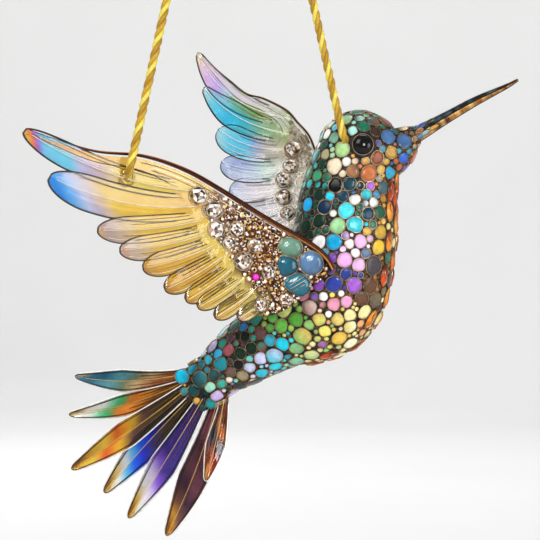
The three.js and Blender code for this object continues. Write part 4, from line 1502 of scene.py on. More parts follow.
@dataclass
class Beak:
    """Slim beak: dark above and gold below, with a groove along each side and wires along it; the top wire is
    white as a painted highlight.
    """

    stations: tuple[Triple, ...] = (
        (0.0439, 0.0439, 0.0039), (0.0514, 0.0469, 0.00275), (0.0619, 0.0527, 0.00195),
        (0.0718, 0.0581, 0.0015), (0.0817, 0.0627, 0.0008), (0.0861, 0.0651, 0.0004),
    )
    start: float = 0.16
    sides: int = 28
    rings: int = 90
    groove: float = 0.20
    wire: float = 0.00022
    seed: int = 5
    upper_codes: str = "0c1210 1c3040 050606 40585c 141010 080a0c"
    lower_codes: str = "c98a3c a85a28 e0b060 3a1c10 6a3418 f0c878"
    # Wires from the left side round over the top; the top one is a wire painted white as a highlight along
    # the beak's top
    wires: tuple[Line, ...] = (Line.DARK, Line.WHITE, Line.DARK, Line.DARK)
    root_stones: tuple[tuple[float, float, float, float, str], ...] = (
        (0.208, 0.95, 0.0013, 0.0010, "2f6a68"), (0.252, 0.80, 0.0020, 0.0010, "3a5cc0"),
        (0.306, 0.80, 0.0019, 0.0008, "24443e"), (0.214, -0.62, 0.0013, 0.0010, "5a8ab8"),
        (0.256, -0.52, 0.0019, 0.0009, "a0bcb8"), (0.308, -0.50, 0.0021, 0.0008, "d8a03c"),
        (0.230, 0.14, 0.0015, 0.0007, "b05a28"),
    )

    def dent(self, angles: Array) -> Array:
        """Radius with a groove along each side, as a share of the plain one."""
        return 1 - self.groove * np.exp(-(np.sin(angles) / 0.22) ** 2)

    def collar(self) -> None:
        """Oval stones on both sides of the beak's root."""
        maker = MeshMaker()
        for share, slope, long_half, short_half, code in self.root_stones:
            near = spline(self.stations, np.array((share - 0.005, share, share + 0.005)))
            (x, z, radius), (ax, az) = near[1], tangents(near[:, :2])[1]
            for side in Side:
                up, out = math.sin(slope), side.value * math.cos(slope)
                normal = np.array((-az * up, out, ax * up))
                point = np.array((x, 0.0, z)) + 0.94 * radius * normal
                stone = Stone(turned(point), turned(normal), short_half)
                stone.oval(turned(np.array((ax, 0.0, az))), (long_half, short_half))
                # A colour and its darker copy, the darker one on the lower side: painted light and shade
                set_stone(maker, stone, (shade(code), 0.55 * shade(code)), 0.0003)
        settle(maker.build("beak_root_stones", (ENAMEL, RIM_METAL), 50.0), "mosaic")

    def build(self) -> None:
        """Makes the beak, its wires and the stones on its root."""
        line = spline(self.stations, np.linspace(self.start, 1, self.rings))
        angles, lines = around(self.sides), around(len(self.wires))
        draw = np.random.RandomState(self.seed)
        upper, lower = shades(self.upper_codes), shades(self.lower_codes)
        picks = np.array([(draw.randint(len(upper)), draw.randint(len(lower))) for _ in line])
        share = np.clip(0.9 + 3 * np.sin(angles), 0, 1)[:, None]
        tint = upper[picks[:, 0], None] * share + lower[picks[:, 1], None] * (1 - share)
        maker = MeshMaker()
        blurred = (tint + np.roll(tint, 1, axis=0) + np.roll(tint, -1, axis=0)) / 3
        maker.loft(rings_round(line, angles, self.dent(angles)), blurred)
        paths = rings_round(line, lines, self.dent(lines))
        for number, metal in enumerate(self.wires):
            maker.tube(paths[:, number], self.wire, shade(metal.value))
        settle(maker.build("beak_shaft", (BEAK_METAL,), 50.0), "beak_metal", ["beak"])
        self.collar()


# Feathers

Surface = Callable[[Array, float, float], Array]


def feather_shape(share: Array, pointed: bool) -> Array:
    """Half width of a feather along its length, as a share of its widest half.

    Args:
        share: shares of its length.
        pointed: True for a lance-shaped end, False for a round one.

    Returns:
        One width for each share.
    """
    swell = 0.6 + 0.4 * np.sin(QUARTER * np.minimum(1, share / 0.65))
    if not pointed:
        return swell * np.where(share < 0.72, 1.0, np.sqrt(np.clip(1 - ((share - 0.72) / 0.285) ** 2, 0, 1)))
    taper = 1 - 0.78 * np.maximum(0, (share - 0.6) / 0.4) ** 1.4
    return swell * taper * np.sqrt(np.clip(1 - (np.maximum(0, share - 0.965) / 0.0355) ** 2, 0, 1))


def feather_stops(count: int) -> Array:
    """Shares along a feather, closer together towards its tip."""
    return 1 - (1 - np.linspace(0, 1, count)) ** 1.5


def ribbing(aside: float) -> float:
    """Height of the fine ribs at a place across a feather."""
    return 0.00006 * math.cos(5 * math.pi * aside) * (1 - aside ** 2)


def feather_form(surface: Surface, shares: Array, across: int, tint: Callable[[Array], Array]) -> MeshMaker:
    """Closed glass form of a feather.

    Args:
        surface: gives places from shares of the length, a place across from -1 to 1, and the face.
        shares: shares of the length.
        across: number of places across each face.
        tint: gives the colours of all shares from the places across.

    Returns:
        The form.
    """
    front = np.linspace(-1, 1, across)
    aside = np.concatenate((front, front[::-1]))
    columns = [surface(shares, place, face) for place, face in zip(aside, np.repeat((1.0, -1.0), across))]
    maker = MeshMaker()
    maker.loft(np.stack(columns, axis=1), np.clip(tint(aside), 0, 1))
    return maker


def round_feather(surface: Surface, shares: Array, aside: float, face: float) -> Array:
    """Path up one side of a feather and down the other."""
    return np.vstack((surface(shares, -aside, face), surface(shares[::-1], aside, face)))


@dataclass(frozen=True)
class Feather:
    """One wing feather.

    Args:
        tip: place of its tip as x and z.
        half: widest half width.
        bow: how far its middle bows towards the trailing side.
        bands: colours from root to tip, as stops.
        pointed: True for a lance-shaped end.
        slant: how far the bands lag towards the front side, as a share of the length.
    """

    tip: Pair
    half: float
    bow: float
    bands: str
    pointed: bool = False
    slant: float = -0.05


def amber(root: str, middle: str, tip: str) -> str:
    """Bands of a plain amber feather."""
    return f"0 {root} 45 {middle} 80 {middle} 100 {tip}"


@dataclass
class Wing:
    """One cast glass wing with its edge wires, drawn lines, crystals, band of beads and shoulder tiles."""

    side: Side
    root_y: float
    reach: float
    root: Pair
    along: Pair
    length: float
    power: float
    lead: tuple[Pair, ...]
    wrist: int
    wire: Pair
    hem: tuple[Pair, ...]
    roots: tuple[Pair, ...]
    feathers: tuple[Feather, ...]
    crystals: tuple[Triple, ...]
    inner_crystals: tuple[Triple, ...]
    tiles: tuple[Triple, ...]
    plate_code: str
    bed_code: str
    strip: str
    slot: str
    line_codes: tuple[Line, Line, Line]
    wire_codes: tuple[str, ...]
    lead_lines: tuple[tuple[float, float, float, Line], ...]
    band_hem: int
    band_lead: int
    bead_and_glint_codes: str
    accents: tuple[Dot, ...] = ()
    bead_sizes: tuple[Size, ...] = ((0.0007, 0.0010, 900), (0.00045, 0.0007, 3000), (0.0003, 0.00045, 6000))
    # Facet tints of the crystals: painted glints and painted dark reflections
    painted_glint_facets: str = "fffdf8 f2e8e0 fbf0dc e0d4d0 c8a890"
    painted_dark_facets: str = "2a1812 120a08 5a3a28 8a5a34 3a261c b08050"
    tile_codes: tuple[str, ...] = ("7fae96", "6c94c0", "1f7088", "2a86a0")
    tile_growth: tuple[float, ...] = (1.75, 1.10, 1.65, 1.75)
    tile_rise: float = 0.0008
    tile_rim: float = 0.0006
    ridge: float = 0.0009
    edge: float = 0.00028
    tilt: float = 0.07
    plate_half: float = 0.0009
    strip_half: float = 0.00072
    strip_width: float = 0.0064
    strip_start: float = 0.09
    fit_gap: float = 0.0003
    band_gap: float = 0.0006
    across: int = 13
    stops: int = 40
    hole_radius: float = 0.0019
    crystal_foot: float = 0.0003
    outlines: Pair = (0.00034, 0.00027)

    @property
    def name(self) -> str:
        """Plain name of the wing's side."""
        return self.side.name.lower()

    @property
    def strip_span(self) -> int:
        """Number of front edge points along the front strip."""
        return self.wrist + 2

    def bend(self, flat: Array) -> Array:
        """How far out of the bird's middle plane the wing stands at flat places, given as x and z."""
        reach = (flat - np.array(self.root)) @ np.array(self.along) / self.length
        return self.root_y + self.side.value * self.reach * np.maximum(0, reach) ** self.power

    def normal(self, flat: Array) -> Array:
        """Outward unit normals of the wing.

        Args:
            flat: places as x and z.

        Returns:
            One normal for each place.
        """
        step = 0.0001
        slopes = [(self.bend(flat + shift) - self.bend(flat - shift)) / (2 * step)
                  for shift in step * np.eye(2)]
        return self.side.value * unit(np.stack((-slopes[0], np.ones_like(slopes[0]), -slopes[1]), axis=-1))

    def point(self, flat: Array, lift: Union[float, Array] = 0.0) -> Array:
        """Places on the wing over flat places, lifted outwards by a height."""
        base = np.stack((flat[..., 0], self.bend(flat), flat[..., 1]), axis=-1)
        return base + self.normal(flat) * np.asarray(lift)[..., None]

    def seat(self, x: float, z: float, radius: float, face: float = 1.0) -> Stone:
        """Stone at x and z on the plate's outer face, or on its inner one where face is -1."""
        flat = np.array((x, z))
        return Stone(self.point(flat, face * self.plate_half), self.normal(flat) * face, radius)

    def on_feather(self, feather: Feather, number: int, share: Array, aside: float, face: float) -> Array:
        """Places on a feather's surface, which is ridged in the middle and lightly ribbed.

        Args:
            feather: the feather.
            number: its number, from the front of the wing.
            share: shares of its length.
            aside: place across it, from -1 to 1.
            face: 1 for the outer face, -1 for the inner one and 0 for the middle of the glass.

        Returns:
            One place for each share.
        """
        start = spline(self.roots, np.array([number / (len(self.feathers) - 1)]))[0]
        end = np.array(feather.tip)
        line = unit(end - start)
        trailing = np.array((line[1], -line[0])) * (np.sign(line[0]) or 1)
        middle = (start + end) / 2 + trailing * 2 * feather.bow
        t = share[:, None]
        centre = (1 - t) ** 2 * start + 2 * t * (1 - t) * middle + t ** 2 * end
        ahead = unit(2 * (1 - t) * (middle - start) + 2 * t * (end - middle))
        width = feather.half * feather_shape(share, feather.pointed) * aside
        flat = centre + np.stack((ahead[:, 1], -ahead[:, 0]), axis=-1) * width[:, None]
        half = self.edge + (self.ridge - self.edge) * (1 - abs(aside)) ** 0.85 + ribbing(aside)
        return self.point(flat, face * half + self.tilt * width)

    def lead_shift(self, distance: Union[float, Array]) -> Array:
        """Front edge line moved into the wing.

        Args:
            distance: one distance, or one for each point of the line.

        Returns:
            The moved points.
        """
        ahead = headings(self.lead, self.lead_shares())
        inward = np.stack((ahead[:, 1], -ahead[:, 0]), axis=-1)
        return np.array(self.lead) + inward * np.reshape(distance, (-1, 1))

    def lead_shares(self) -> Array:
        """Share of the front edge at each of its points."""
        return np.linspace(0, 1, len(self.lead))

    def wire_radius(self, share: Array) -> Array:
        """Radius of the edge wire, thin at the tip."""
        return self.wire[0] + (self.wire[1] - self.wire[0]) * share

    def beside_wire(self, gap: float) -> Array:
        """Line that runs along the edge wire with a gap."""
        return self.lead_shift(self.wire_radius(self.lead_shares()) + gap)

    def strip_border(self) -> Array:
        """Rear border of the front strip, which widens from the tip."""
        widening = 0.08 + 0.92 * self.lead_shares() * (len(self.lead) - 1) / (self.wrist + 1)
        return self.lead_shift(self.strip_width * widening)[:self.strip_span]

    def web(self, upper: Array, lower: Array, half: float, bands: str, count: int = 40,
            start: float = 0.0) -> MeshMaker:
        """Closed sheet of glass between two edge lines.

        Args:
            upper: front edge as x and z.
            lower: rear edge as x and z.
            half: half its thickness.
            bands: colours along it, as stops.
            count: number of stops along it.
            start: share of the edge lines where it starts.

        Returns:
            The sheet.
        """
        shares = np.linspace(start, 1, count)
        top, foot = spline(upper, shares), spline(lower, shares)
        steps = np.linspace(0, 1, 7)
        columns = [self.point(top * (1 - step) + foot * step, half) for step in steps]
        columns += [self.point(top * (1 - step) + foot * step, -half) for step in steps[::-1]]
        maker = MeshMaker()
        maker.loft(np.stack(columns, axis=1), banded(bands, shares)[:, None])
        return maker

    def feather_glass(self, feather: Feather, number: int) -> MeshMaker:
        """Glass of one feather.

        Args:
            feather: the feather.
            number: its number, from the front of the wing.

        Returns:
            The closed form.
        """
        shares = feather_stops(self.stops)

        def tint(aside: Array) -> Array:
            """Slanting bands with fine stripes, and painted shade towards the sides."""
            # Painted shade: darker towards the feather's sides, where it meets its neighbours; the cosine
            # adds fine stripes
            shadow = 1 - 0.16 * np.abs(aside) ** 2.5 + 0.05 * np.cos(7 * math.pi * aside)
            return banded(feather.bands, shares[:, None] + feather.slant * aside) * shadow[:, None]

        return feather_form(partial(self.on_feather, feather, number), shares, self.across, tint)

    def glass(self) -> None:
        """Joins plate, front strip and feathers into one solid, and cuts it clear of wire and cord."""
        edge, inner = self.beside_wire(self.fit_gap), self.strip_border()
        front = edge[:self.strip_span]
        plain = f"0 {self.plate_code} 100 {self.plate_code}"
        parts = [self.web(edge[self.wrist:], np.array(self.hem), self.plate_half, plain, 60),
                 self.web(front, inner, self.strip_half, self.strip, start=self.strip_start)]
        parts += [self.feather_glass(feather, number) for number, feather in enumerate(self.feathers)]
        for part in parts[2:4]:
            self.stain_strip(part, front, inner)
        cutters = [self.web(self.lead_shift(-0.007), np.array(self.lead), 0.004, plain)]
        if self.side is Side.RIGHT:
            hole = MeshMaker()
            hole.tube(TwistedCord().centreline()[:14], self.hole_radius, shade("ffffff"), 24)
            cutters.append(hole)
        piece = fused(f"{self.name}_wing_glass", parts, cutters, self.bed(), WING_GLASS, 30.0)
        settle(piece, self.slot, [f"{self.name}_wing"])

    def stain_strip(self, part: MeshMaker, edge: Array, inner: Array) -> None:
        """Gives a feather the front strip's colours where it lies under the strip.

        Args:
            part: the feather, as one form.
            edge: front border of the strip.
            inner: rear border of the strip.
        """
        shares = np.linspace(self.strip_start, 1, 60)
        front, rear = spline(edge, shares), spline(inner, shares)
        outline, middle = np.vstack((front, rear[::-1])), (front + rear) / 2
        colours = banded(self.strip, shares)
        part.tints[0] = part.tints[0].copy()
        for number, place in enumerate(part.points[0][:, (0, 2)]):
            if inside(outline, place):
                part.tints[0][number] = colours[int(np.argmin(np.linalg.norm(middle - place, axis=1)))]

    def bed(self) -> MeshMaker:
        """Places under the band of beads, in their darker colour.

        Returns:
            The places as a form without faces.
        """
        outline = self.band_region()
        grid = np.stack(np.meshgrid(*np.linspace(outline.min(axis=0), outline.max(axis=0), 30).T), axis=-1)
        flat = np.array([place for place in grid.reshape(-1, 2) if inside(outline, place)])
        stain = MeshMaker()
        places = np.vstack([self.point(flat, lift) for lift in (-0.001, 0.001)])
        stain.form(places, [], shade(self.bed_code), [])
        return stain

    def lines(self) -> None:
        """Drawn metal lines: outline and ribs of each feather, and lines that follow the front edge."""
        outline, rib, fine = self.line_codes
        # Rib lines in the rib colour, cream on the right wing and white on the left, are drawn lines that
        # also stand in for painted highlights along the ribs
        ribs = ((0.72, 5, -13, 0.00011, fine), (0.0, 2, -5, 0.00016, rib), (-0.42, 3, -16, 0.00010, fine),
                (-0.72, 3, -9, 0.00013, rib), (0.40, 4, -20, 0.00010, outline))
        maker = MeshMaker()
        shares = feather_stops(46)
        for number, feather in enumerate(self.feathers):
            surface = partial(self.on_feather, feather, number)
            bold = number < 2
            border = round_feather(surface, shares[6:], 1.0, 0.0)
            maker.tube(border, self.outlines[0 if bold else 1], shade(outline.value))
            for face in (1.0, -1.0):
                for aside, start, stop, radius, line in ribs[:2] if bold else ribs:
                    run = shares[start:stop]
                    maker.tube(surface(run, aside, face), radius * (1.15 - 0.6 * run), shade(line.value), 5)
        border = spline(self.strip_border(), np.linspace(self.strip_start, 1, 40))
        maker.tube(self.point(border, self.strip_half), 0.00016, shade(Line.DARK.value), 5)
        for offset, start, stop, line in self.lead_lines:
            flat = spline(self.lead_shift(offset), np.linspace(start, stop, 40))
            maker.tube(self.point(flat, self.plate_half + 0.00005), 0.00015, shade(line.value), 5)
        settle(maker.build(f"{self.name}_wing_lines", (LINE_METAL,), 70.0), "copper_edge")

    def edge_wires(self) -> None:
        """Copper wires laid together along the front edge."""
        share = np.linspace(0.03, 1, 90)
        flat = spline(self.lead, share)
        path, face = self.point(flat), self.normal(flat)
        across = np.cross(tangents(path), face)
        radius = 0.85 * self.wire_radius(share) * (0.30 + 0.70 * np.minimum(1, share / 0.45))
        maker = MeshMaker()
        for number, code in enumerate(self.wire_codes):
            angle = (TURN * number / len(self.wire_codes) + 4.0 * share)[:, None]
            offset = 0.58 * radius[:, None] * (np.cos(angle) * across + np.sin(angle) * face)
            maker.tube(path + offset, 0.42 * radius, shade(code), 9)
        piece = maker.build(f"{self.name}_edge_wires", (EDGE_METAL,), 70.0)
        settle(piece, "copper_edge", [f"{self.name}_wing_edge"])

    def crystal_set(self) -> None:
        """Cut crystals on both faces, each in a thin gold ring."""
        maker = MeshMaker()
        draw = np.random.RandomState(11 + self.side.value)
        nodes = []
        faces = (("crystal", self.crystals, 1.0), ("inner_crystal", self.inner_crystals, -1.0))
        for kind, spots, face in faces:
            for number, spot in enumerate(spots, start=1):
                self.crystal(maker, self.seat(*spot, face), draw)
                nodes.append(f"{self.name}_{kind}_{number}")
        piece = maker.build(f"{self.name}_crystals", (CRYSTAL, RIM_METAL), 15.0)
        settle(piece, "clear_crystal", nodes)

    def crystal(self, maker: MeshMaker, seat: Stone, draw: Draw) -> None:
        """One cut crystal: girdle, two rows of slanting facets and a low star on top.

        Args:
            maker: mesh that takes it.
            seat: where it sits.
            draw: random numbers for the facets.
        """
        foot = seat.point + seat.normal * self.crystal_foot
        rows = ((0.0, 0.92, 0.0), (0.10, 1.0, 0.0), (0.42, 0.78, 0.5), (0.60, 0.46, 0.0))
        points = [foot + seat.radius * (seat.normal * height + seat.wheel(8, shift * TURN / 8) * share)
                  for height, share, shift in rows]
        points.append((foot + seat.normal * 0.66 * seat.radius)[None])
        faces = [list(range(7, -1, -1))]
        for low in range(8):
            ahead = (low + 1) % 8
            faces.append([low, ahead, ahead + 8, low + 8])
            faces += [[low + 8, ahead + 8, low + 16], [ahead + 8, ahead + 16, low + 16]]
            faces += [[low + 16, ahead + 24, low + 24], [low + 16, ahead + 16, ahead + 24]]
            faces.append([low + 24, ahead + 24, 32])
        # Facets take bright and dark tints by turns: painted glints and reflections of the cut stone
        facets = shades(self.painted_glint_facets), shades(self.painted_dark_facets)
        start = len(maker.faces)
        maker.form(np.vstack(points), faces, facets[0][0], [0] * len(faces))
        for number in range(len(faces)):
            shelf = facets[int((number % 2 == 0) != (draw.rand() < 0.3))]
            maker.facet_tints[start + number] = shelf[draw.randint(len(shelf))]
        ring = seat.point + seat.normal * 0.0004 + seat.wheel(24) * (1.07 * seat.radius)
        maker.hoop(ring, 0.00022, shade("ffffff"), 1)

    def band_region(self) -> Array:
        """Outline of the band of beads, from the feather roots to the shoulder."""
        edge = self.beside_wire(self.band_gap)[:self.band_lead:-1]
        return np.vstack((np.array(self.roots), np.array(self.hem[self.band_hem:]), edge))

    def beads(self) -> None:
        """Small cut beads that fill the band between the crystals."""
        draw = np.random.RandomState(31 + self.side.value)
        maker = MeshMaker()
        taken = [(np.array((x, z)), 1.05 * radius) for x, z, radius in self.crystals]
        taken += [(np.array((x, z)), 0.8 * (1 + grow) / 2 * radius + 0.0004)
                  for (x, z, radius), grow in zip(self.tiles, self.tile_growth)]
        for x, z, radius, code in self.accents:
            taken.append((np.array((x, z)), radius))
            set_stone(maker, self.seat(x, z, radius), (shade(code), shade(code)), radius, 0.0, 0.0)
        count = 0
        for place, radius in scatter(taken, self.bead_sizes, partial(throws, self.band_region(), draw)):
            self.bead(maker, self.seat(*place, radius), draw)
            count += 1
        LOG.info("%s band: %d beads", self.name, count)
        settle(maker.build(f"{self.name}_band_beads", (ENAMEL,), 14.0), "clear_crystal")

    def bead(self, maker: MeshMaker, seat: Stone, draw: Draw) -> None:
        """One small six-sided cut bead, each facet in a colour of its own; the white ones are painted glints.

        Args:
            maker: mesh that takes it.
            seat: where it sits.
            draw: random numbers for its turn and colours.
        """
        wheel, codes = seat.wheel(6, draw.uniform(0, TURN)), shades(self.bead_and_glint_codes)
        start = len(maker.faces)
        maker.loft(np.array([seat.point + seat.radius * (seat.normal * height + wheel * share)
                             for height, share in ((-0.8, 1.0), (0.35, 1.0), (0.95, 0.5))]), codes[0])
        for number in range(start, len(maker.faces)):
            maker.facet_tints[number] = codes[draw.randint(len(codes))]

    def tile_set(self) -> None:
        """Glass tiles over the wing's root, fitted to each other; the last one has fine stripes."""
        maker = MeshMaker()
        seats = [self.seat(*tile) for tile in self.tiles]
        share = np.linspace(0.5, 1, 16)
        others = [self.seat(x, z, float(radius)).spot
                  for (x, z), radius in zip(spline(self.lead, share), self.wire_radius(share))]
        others += [self.seat(*crystal).spot for crystal in self.crystals]
        for seat, growth in zip(seats, self.tile_growth):
            beside = [other.spot for other in seats if other is not seat]
            fit_outlines([seat], others + beside, 0.0003, growth)
        for seat, code in zip(seats, self.tile_codes):
            # Each tile lighter towards its top and darker below: painted light and shade on one glass colour
            set_stone(maker, seat, (1.15 * shade(code), 0.6 * shade(code)), self.tile_rise, rim=self.tile_rim)
        self.stripes(maker, seats[-1])
        nodes = [f"{self.name}_shoulder_tile_{k + 1}" for k in range(len(self.tiles))]
        piece = maker.build(f"{self.name}_shoulder_tiles", (TILE_GLASS, RIM_METAL), 50.0)
        settle(piece, "shoulder_glass", nodes)

    def stripes(self, maker: MeshMaker, tile: Stone) -> None:
        """Fine stripes across a tile.

        Args:
            maker: mesh that takes them.
            tile: the tile.
        """
        level, upward = side_frame(tile.normal)
        line = 0.86 * level + 0.51 * upward
        for shift in (-0.55, -0.15, 0.25, 0.6):
            chord = math.sqrt(1 - shift ** 2)
            run = np.linspace(-1, 1, 9)[:, None] * chord * 1.05 * tile.radius
            dome = self.tile_rise * np.sqrt(np.clip(1 - (run / (1.4 * tile.radius)) ** 2, 0, 1)) * chord
            path = (tile.point + line * run + np.cross(tile.normal, line) * shift * tile.radius
                    + tile.normal * (0.0003 + dome))
            maker.tube(path, 0.00012, shade(Line.WHITE.value), 5, 1)

    def build(self) -> None:
        """Makes every piece of the wing."""
        self.glass()
        self.lines()
        self.edge_wires()
        self.crystal_set()
        self.beads()
        self.tile_set()


def right_wing() -> Wing:
    """The near wing: amber glass with blue and violet tips."""
    return Wing(
        side=Side.RIGHT, root_y=-0.0215, reach=0.0385, root=(0.0197, 0.0), along=(-1.0, 0.0), length=0.0985,
        power=1.6,
        lead=((-0.0788, 0.0454), (-0.0699, 0.0423), (-0.0568, 0.0386), (-0.0417, 0.0375), (-0.0282, 0.0332),
              (-0.0157, 0.0264), (-0.0010, 0.0172), (0.0135, 0.0088), (0.0190, 0.0041), (0.0213, 0.0)),
        wrist=3, wire=(0.0006, 0.00135),
        hem=((-0.0360, 0.0310), (-0.0270, 0.0210), (-0.0230, 0.0095), (-0.0165, -0.0020), (-0.0100, -0.0110),
             (-0.0035, -0.0156), (0.0047, -0.0136), (0.0098, -0.0093), (0.0138, -0.0048), (0.0184, -0.0024)),
        roots=((-0.0217, 0.0260), (-0.0197, 0.0130), (-0.0120, 0.0015), (-0.0013, -0.0104)),
        feathers=(
            Feather((-0.0780, 0.0442), 0.0040, 0.0043,
                "0 f4d25c 45 fae070 57 e0c6c8 68 d4cef0 76 7ce0fc 90 80d6fa 93.5 b874ec 96 f88448 "
                "100 fcc040"),
            Feather((-0.0705, 0.0298), 0.0057, 0.0040,
                "0 f0c050 35 f6cc44 62 f2d058 72 e0c8c4 82 c8d2f4 91 6cbefa 100 2898f4", slant=-0.13),
            Feather((-0.0559, 0.0130), 0.0044, 0.0014, "0 f2cc54 60 f2ca48 82 d6bca4 93 c6acac 100 e0b880"),
            Feather((-0.0490, 0.0065), 0.0041, 0.0013, "0 f4d664 60 f0c648 85 d8c2aa 100 dcb09c"),
            Feather((-0.0417, 0.0007), 0.0041, 0.0010, amber("f6da6c", "ecbc44", "d09c48")),
            Feather((-0.0347, -0.0063), 0.0038, 0.0007, amber("f4d460", "e6b43e", "c08638")),
            Feather((-0.0279, -0.0100), 0.0033, 0.0006, amber("f6de78", "ecc04c", "c88e3c")),
            Feather((-0.0240, -0.0123), 0.0030, 0.0004, amber("f8e488", "f0cc5c", "d4a044")),
            Feather((-0.0184, -0.0157), 0.0029, 0.0003, amber("f8e290", "f0ca64", "d4a04c")),
            Feather((-0.0107, -0.0161), 0.0026, 0.0, amber("faeaa6", "f2d47c", "dca0a8")),
        ),
        crystals=((-0.0243, 0.0246, 0.0030), (-0.0189, 0.0200, 0.0026), (-0.0184, 0.0134, 0.0027),
                  (-0.0114, 0.0136, 0.0024), (-0.0140, 0.0092, 0.0021), (-0.0054, 0.0082, 0.0023),
                  (-0.0094, 0.0030, 0.0029), (-0.0007, -0.0007, 0.0022), (-0.0034, -0.0118, 0.0021),
                  (0.0052, -0.0099, 0.0021)),
        inner_crystals=((-0.0200, 0.0200, 0.0026), (-0.0150, 0.0110, 0.0026), (-0.0090, 0.0025, 0.0026),
                        (-0.0035, -0.0060, 0.0024)),
        tiles=((0.0074, 0.0076, 0.0031), (0.0139, 0.0024, 0.0041), (0.0060, 0.0014, 0.0029),
               (0.0089, -0.0045, 0.0030)),
        plate_code="e8be62", bed_code="6a3c18",
        strip="0 8a4a20 25 c88a40 50 ecbc5c 100 f8d870",
        slot="amber_wing_glass", line_codes=(Line.DARK, Line.CREAM, Line.BROWN), band_hem=5, band_lead=4,
        wire_codes=("3a1d10", "8a4a28", "24120a", "a8703c", "5a2c16"),
        lead_lines=((0.0024, 0.33, 0.80, Line.BROWN), (0.0033, 0.36, 0.74, Line.CREAM),
                    (0.0042, 0.36, 0.60, Line.BROWN)),
        accents=((-0.0051, -0.0024, 0.0012, "ff2ccc"),),
        bead_and_glint_codes="5a3018 a86a2c e0a44a fff0d0 2a160c b07a5a f0c060 ffffff 3a2014 c88a60 "
                   "ffffff d8a868 1c0e08",
    )


def left_wing() -> Wing:
    """The far wing, raised higher: turquoise, violet and clear glass."""
    return Wing(
        side=Side.LEFT, root_y=0.0145, reach=0.0515, root=(0.0215, 0.0054), along=(-0.535, 0.845),
        length=0.0935,
        power=1.5,
        lead=((-0.0282, 0.0846), (-0.0232, 0.0793), (-0.0156, 0.0714), (-0.0089, 0.0661), (-0.0022, 0.0638),
              (0.0060, 0.0590), (0.0100, 0.0542), (0.0145, 0.0482), (0.0174, 0.0381), (0.0201, 0.0234),
              (0.0222, 0.0089), (0.0223, 0.0025)),
        wrist=5, wire=(0.0005, 0.00095),
        hem=((0.0005, 0.0570), (-0.0005, 0.0460), (-0.0025, 0.0360), (-0.0020, 0.0270), (0.0005, 0.0180),
             (0.0050, 0.0090), (0.0085, 0.0015), (0.0140, -0.0030), (0.0190, -0.0035), (0.0215, 0.0)),
        roots=((0.0077, 0.0555), (0.0063, 0.0440), (0.0044, 0.0305), (0.0062, 0.0180), (0.0104, 0.0082)),
        feathers=(
            Feather((-0.0276, 0.0834), 0.0045, 0.0063,
                "0 a8b060 36 9cba6c 48 a8d0a8 56 c4e6f6 66 d4bcfa 80 f2d0fa 90 fce2ee 96 feead2 "
                "100 fef2c4", True),
            Feather((-0.0248, 0.0690), 0.0052, 0.0040,
                "0 b4ba78 26 98c8a0 42 4cc8d8 62 3ccef4 85 7ce4fc 100 d8f6fc", True),
            Feather((-0.0190, 0.0522), 0.0057, 0.0028,
                "0 d4cca8 30 ccc6c4 42 acbce2 55 6cd6f6 80 7ce0fa 100 c0eefa"),
            Feather((-0.0177, 0.0396), 0.0049, 0.0020, "0 ece8dc 30 d4eee6 55 bccdf0 80 acbae4 100 c8d8f4"),
            Feather((-0.0146, 0.0298), 0.0045, 0.0012, "0 f4efe6 50 f0e6f0 100 b8c8e4"),
            Feather((-0.0098, 0.0210), 0.0038, 0.0006, "0 f6f0ea 50 ece4f0 100 c8dcea"),
            Feather((-0.0047, 0.0141), 0.0035, 0.0004, "0 f6f0ea 50 f2e6ee 100 d8d8ea"),
            Feather((0.0, 0.0072), 0.0032, 0.0002, "0 f6f0ea 50 f4e8ea 100 e6d8e4"),
            Feather((0.0047, 0.0007), 0.0030, 0.0, "0 f6f0ea 50 f4eae6 100 ead8d8"),
        ),
        crystals=((0.0086, 0.0437, 0.0030), (0.0076, 0.0373, 0.0025), (0.0056, 0.0316, 0.0028),
                  (0.0060, 0.0252, 0.0026), (0.0124, 0.0480, 0.0021), (0.0120, 0.0320, 0.0024),
                  (0.0135, 0.0250, 0.0022), (0.0125, 0.0185, 0.0024)),
        inner_crystals=((0.0086, 0.0437, 0.0030), (0.0076, 0.0375, 0.0025), (0.0050, 0.0324, 0.0027),
                        (0.0051, 0.0261, 0.0028), (0.0066, 0.0202, 0.0025)),
        tiles=((0.0098, 0.0124, 0.0030), (0.0162, 0.0084, 0.0040), (0.0100, 0.0060, 0.0029),
               (0.0168, 0.0004, 0.0027)),
        plate_code="e6e6d8", bed_code="dcd2bc",
        strip="0 fbf0c8 40 f2e4f6 100 dce6c0",
        slot="rainbow_wing_glass", line_codes=(Line.DARK, Line.WHITE, Line.CREAM), band_hem=6, band_lead=6,
        wire_codes=("2a1a14", "e8e0d4", "3a241a", "8a6a50", "1c100c"),
        lead_lines=((0.0018, 0.34, 0.80, Line.WHITE), (0.0025, 0.38, 0.78, Line.BROWN),
                    (0.0032, 0.40, 0.74, Line.WHITE), (0.0040, 0.42, 0.70, Line.BROWN),
                    (0.0048, 0.44, 0.66, Line.WHITE)),
        bead_and_glint_codes="d8b890 f0e4d0 ffffff d8d4da fbf6ee c8b8a8 b8926a ffffff 8a6a50",
    )


# Tail

@dataclass(frozen=True)
class Blade:
    """One tail blade.

    Args:
        root: where it leaves the body, as x and z in the middle plane.
        tip: its tip, as x and z.
        lean: how far its tip leans to the left.
        half: widest half width.
        bow: how far its middle bows.
        bands: colours from root to tip, as stops.
    """

    root: Pair
    tip: Pair
    lean: float
    half: float
    bow: float
    bands: str


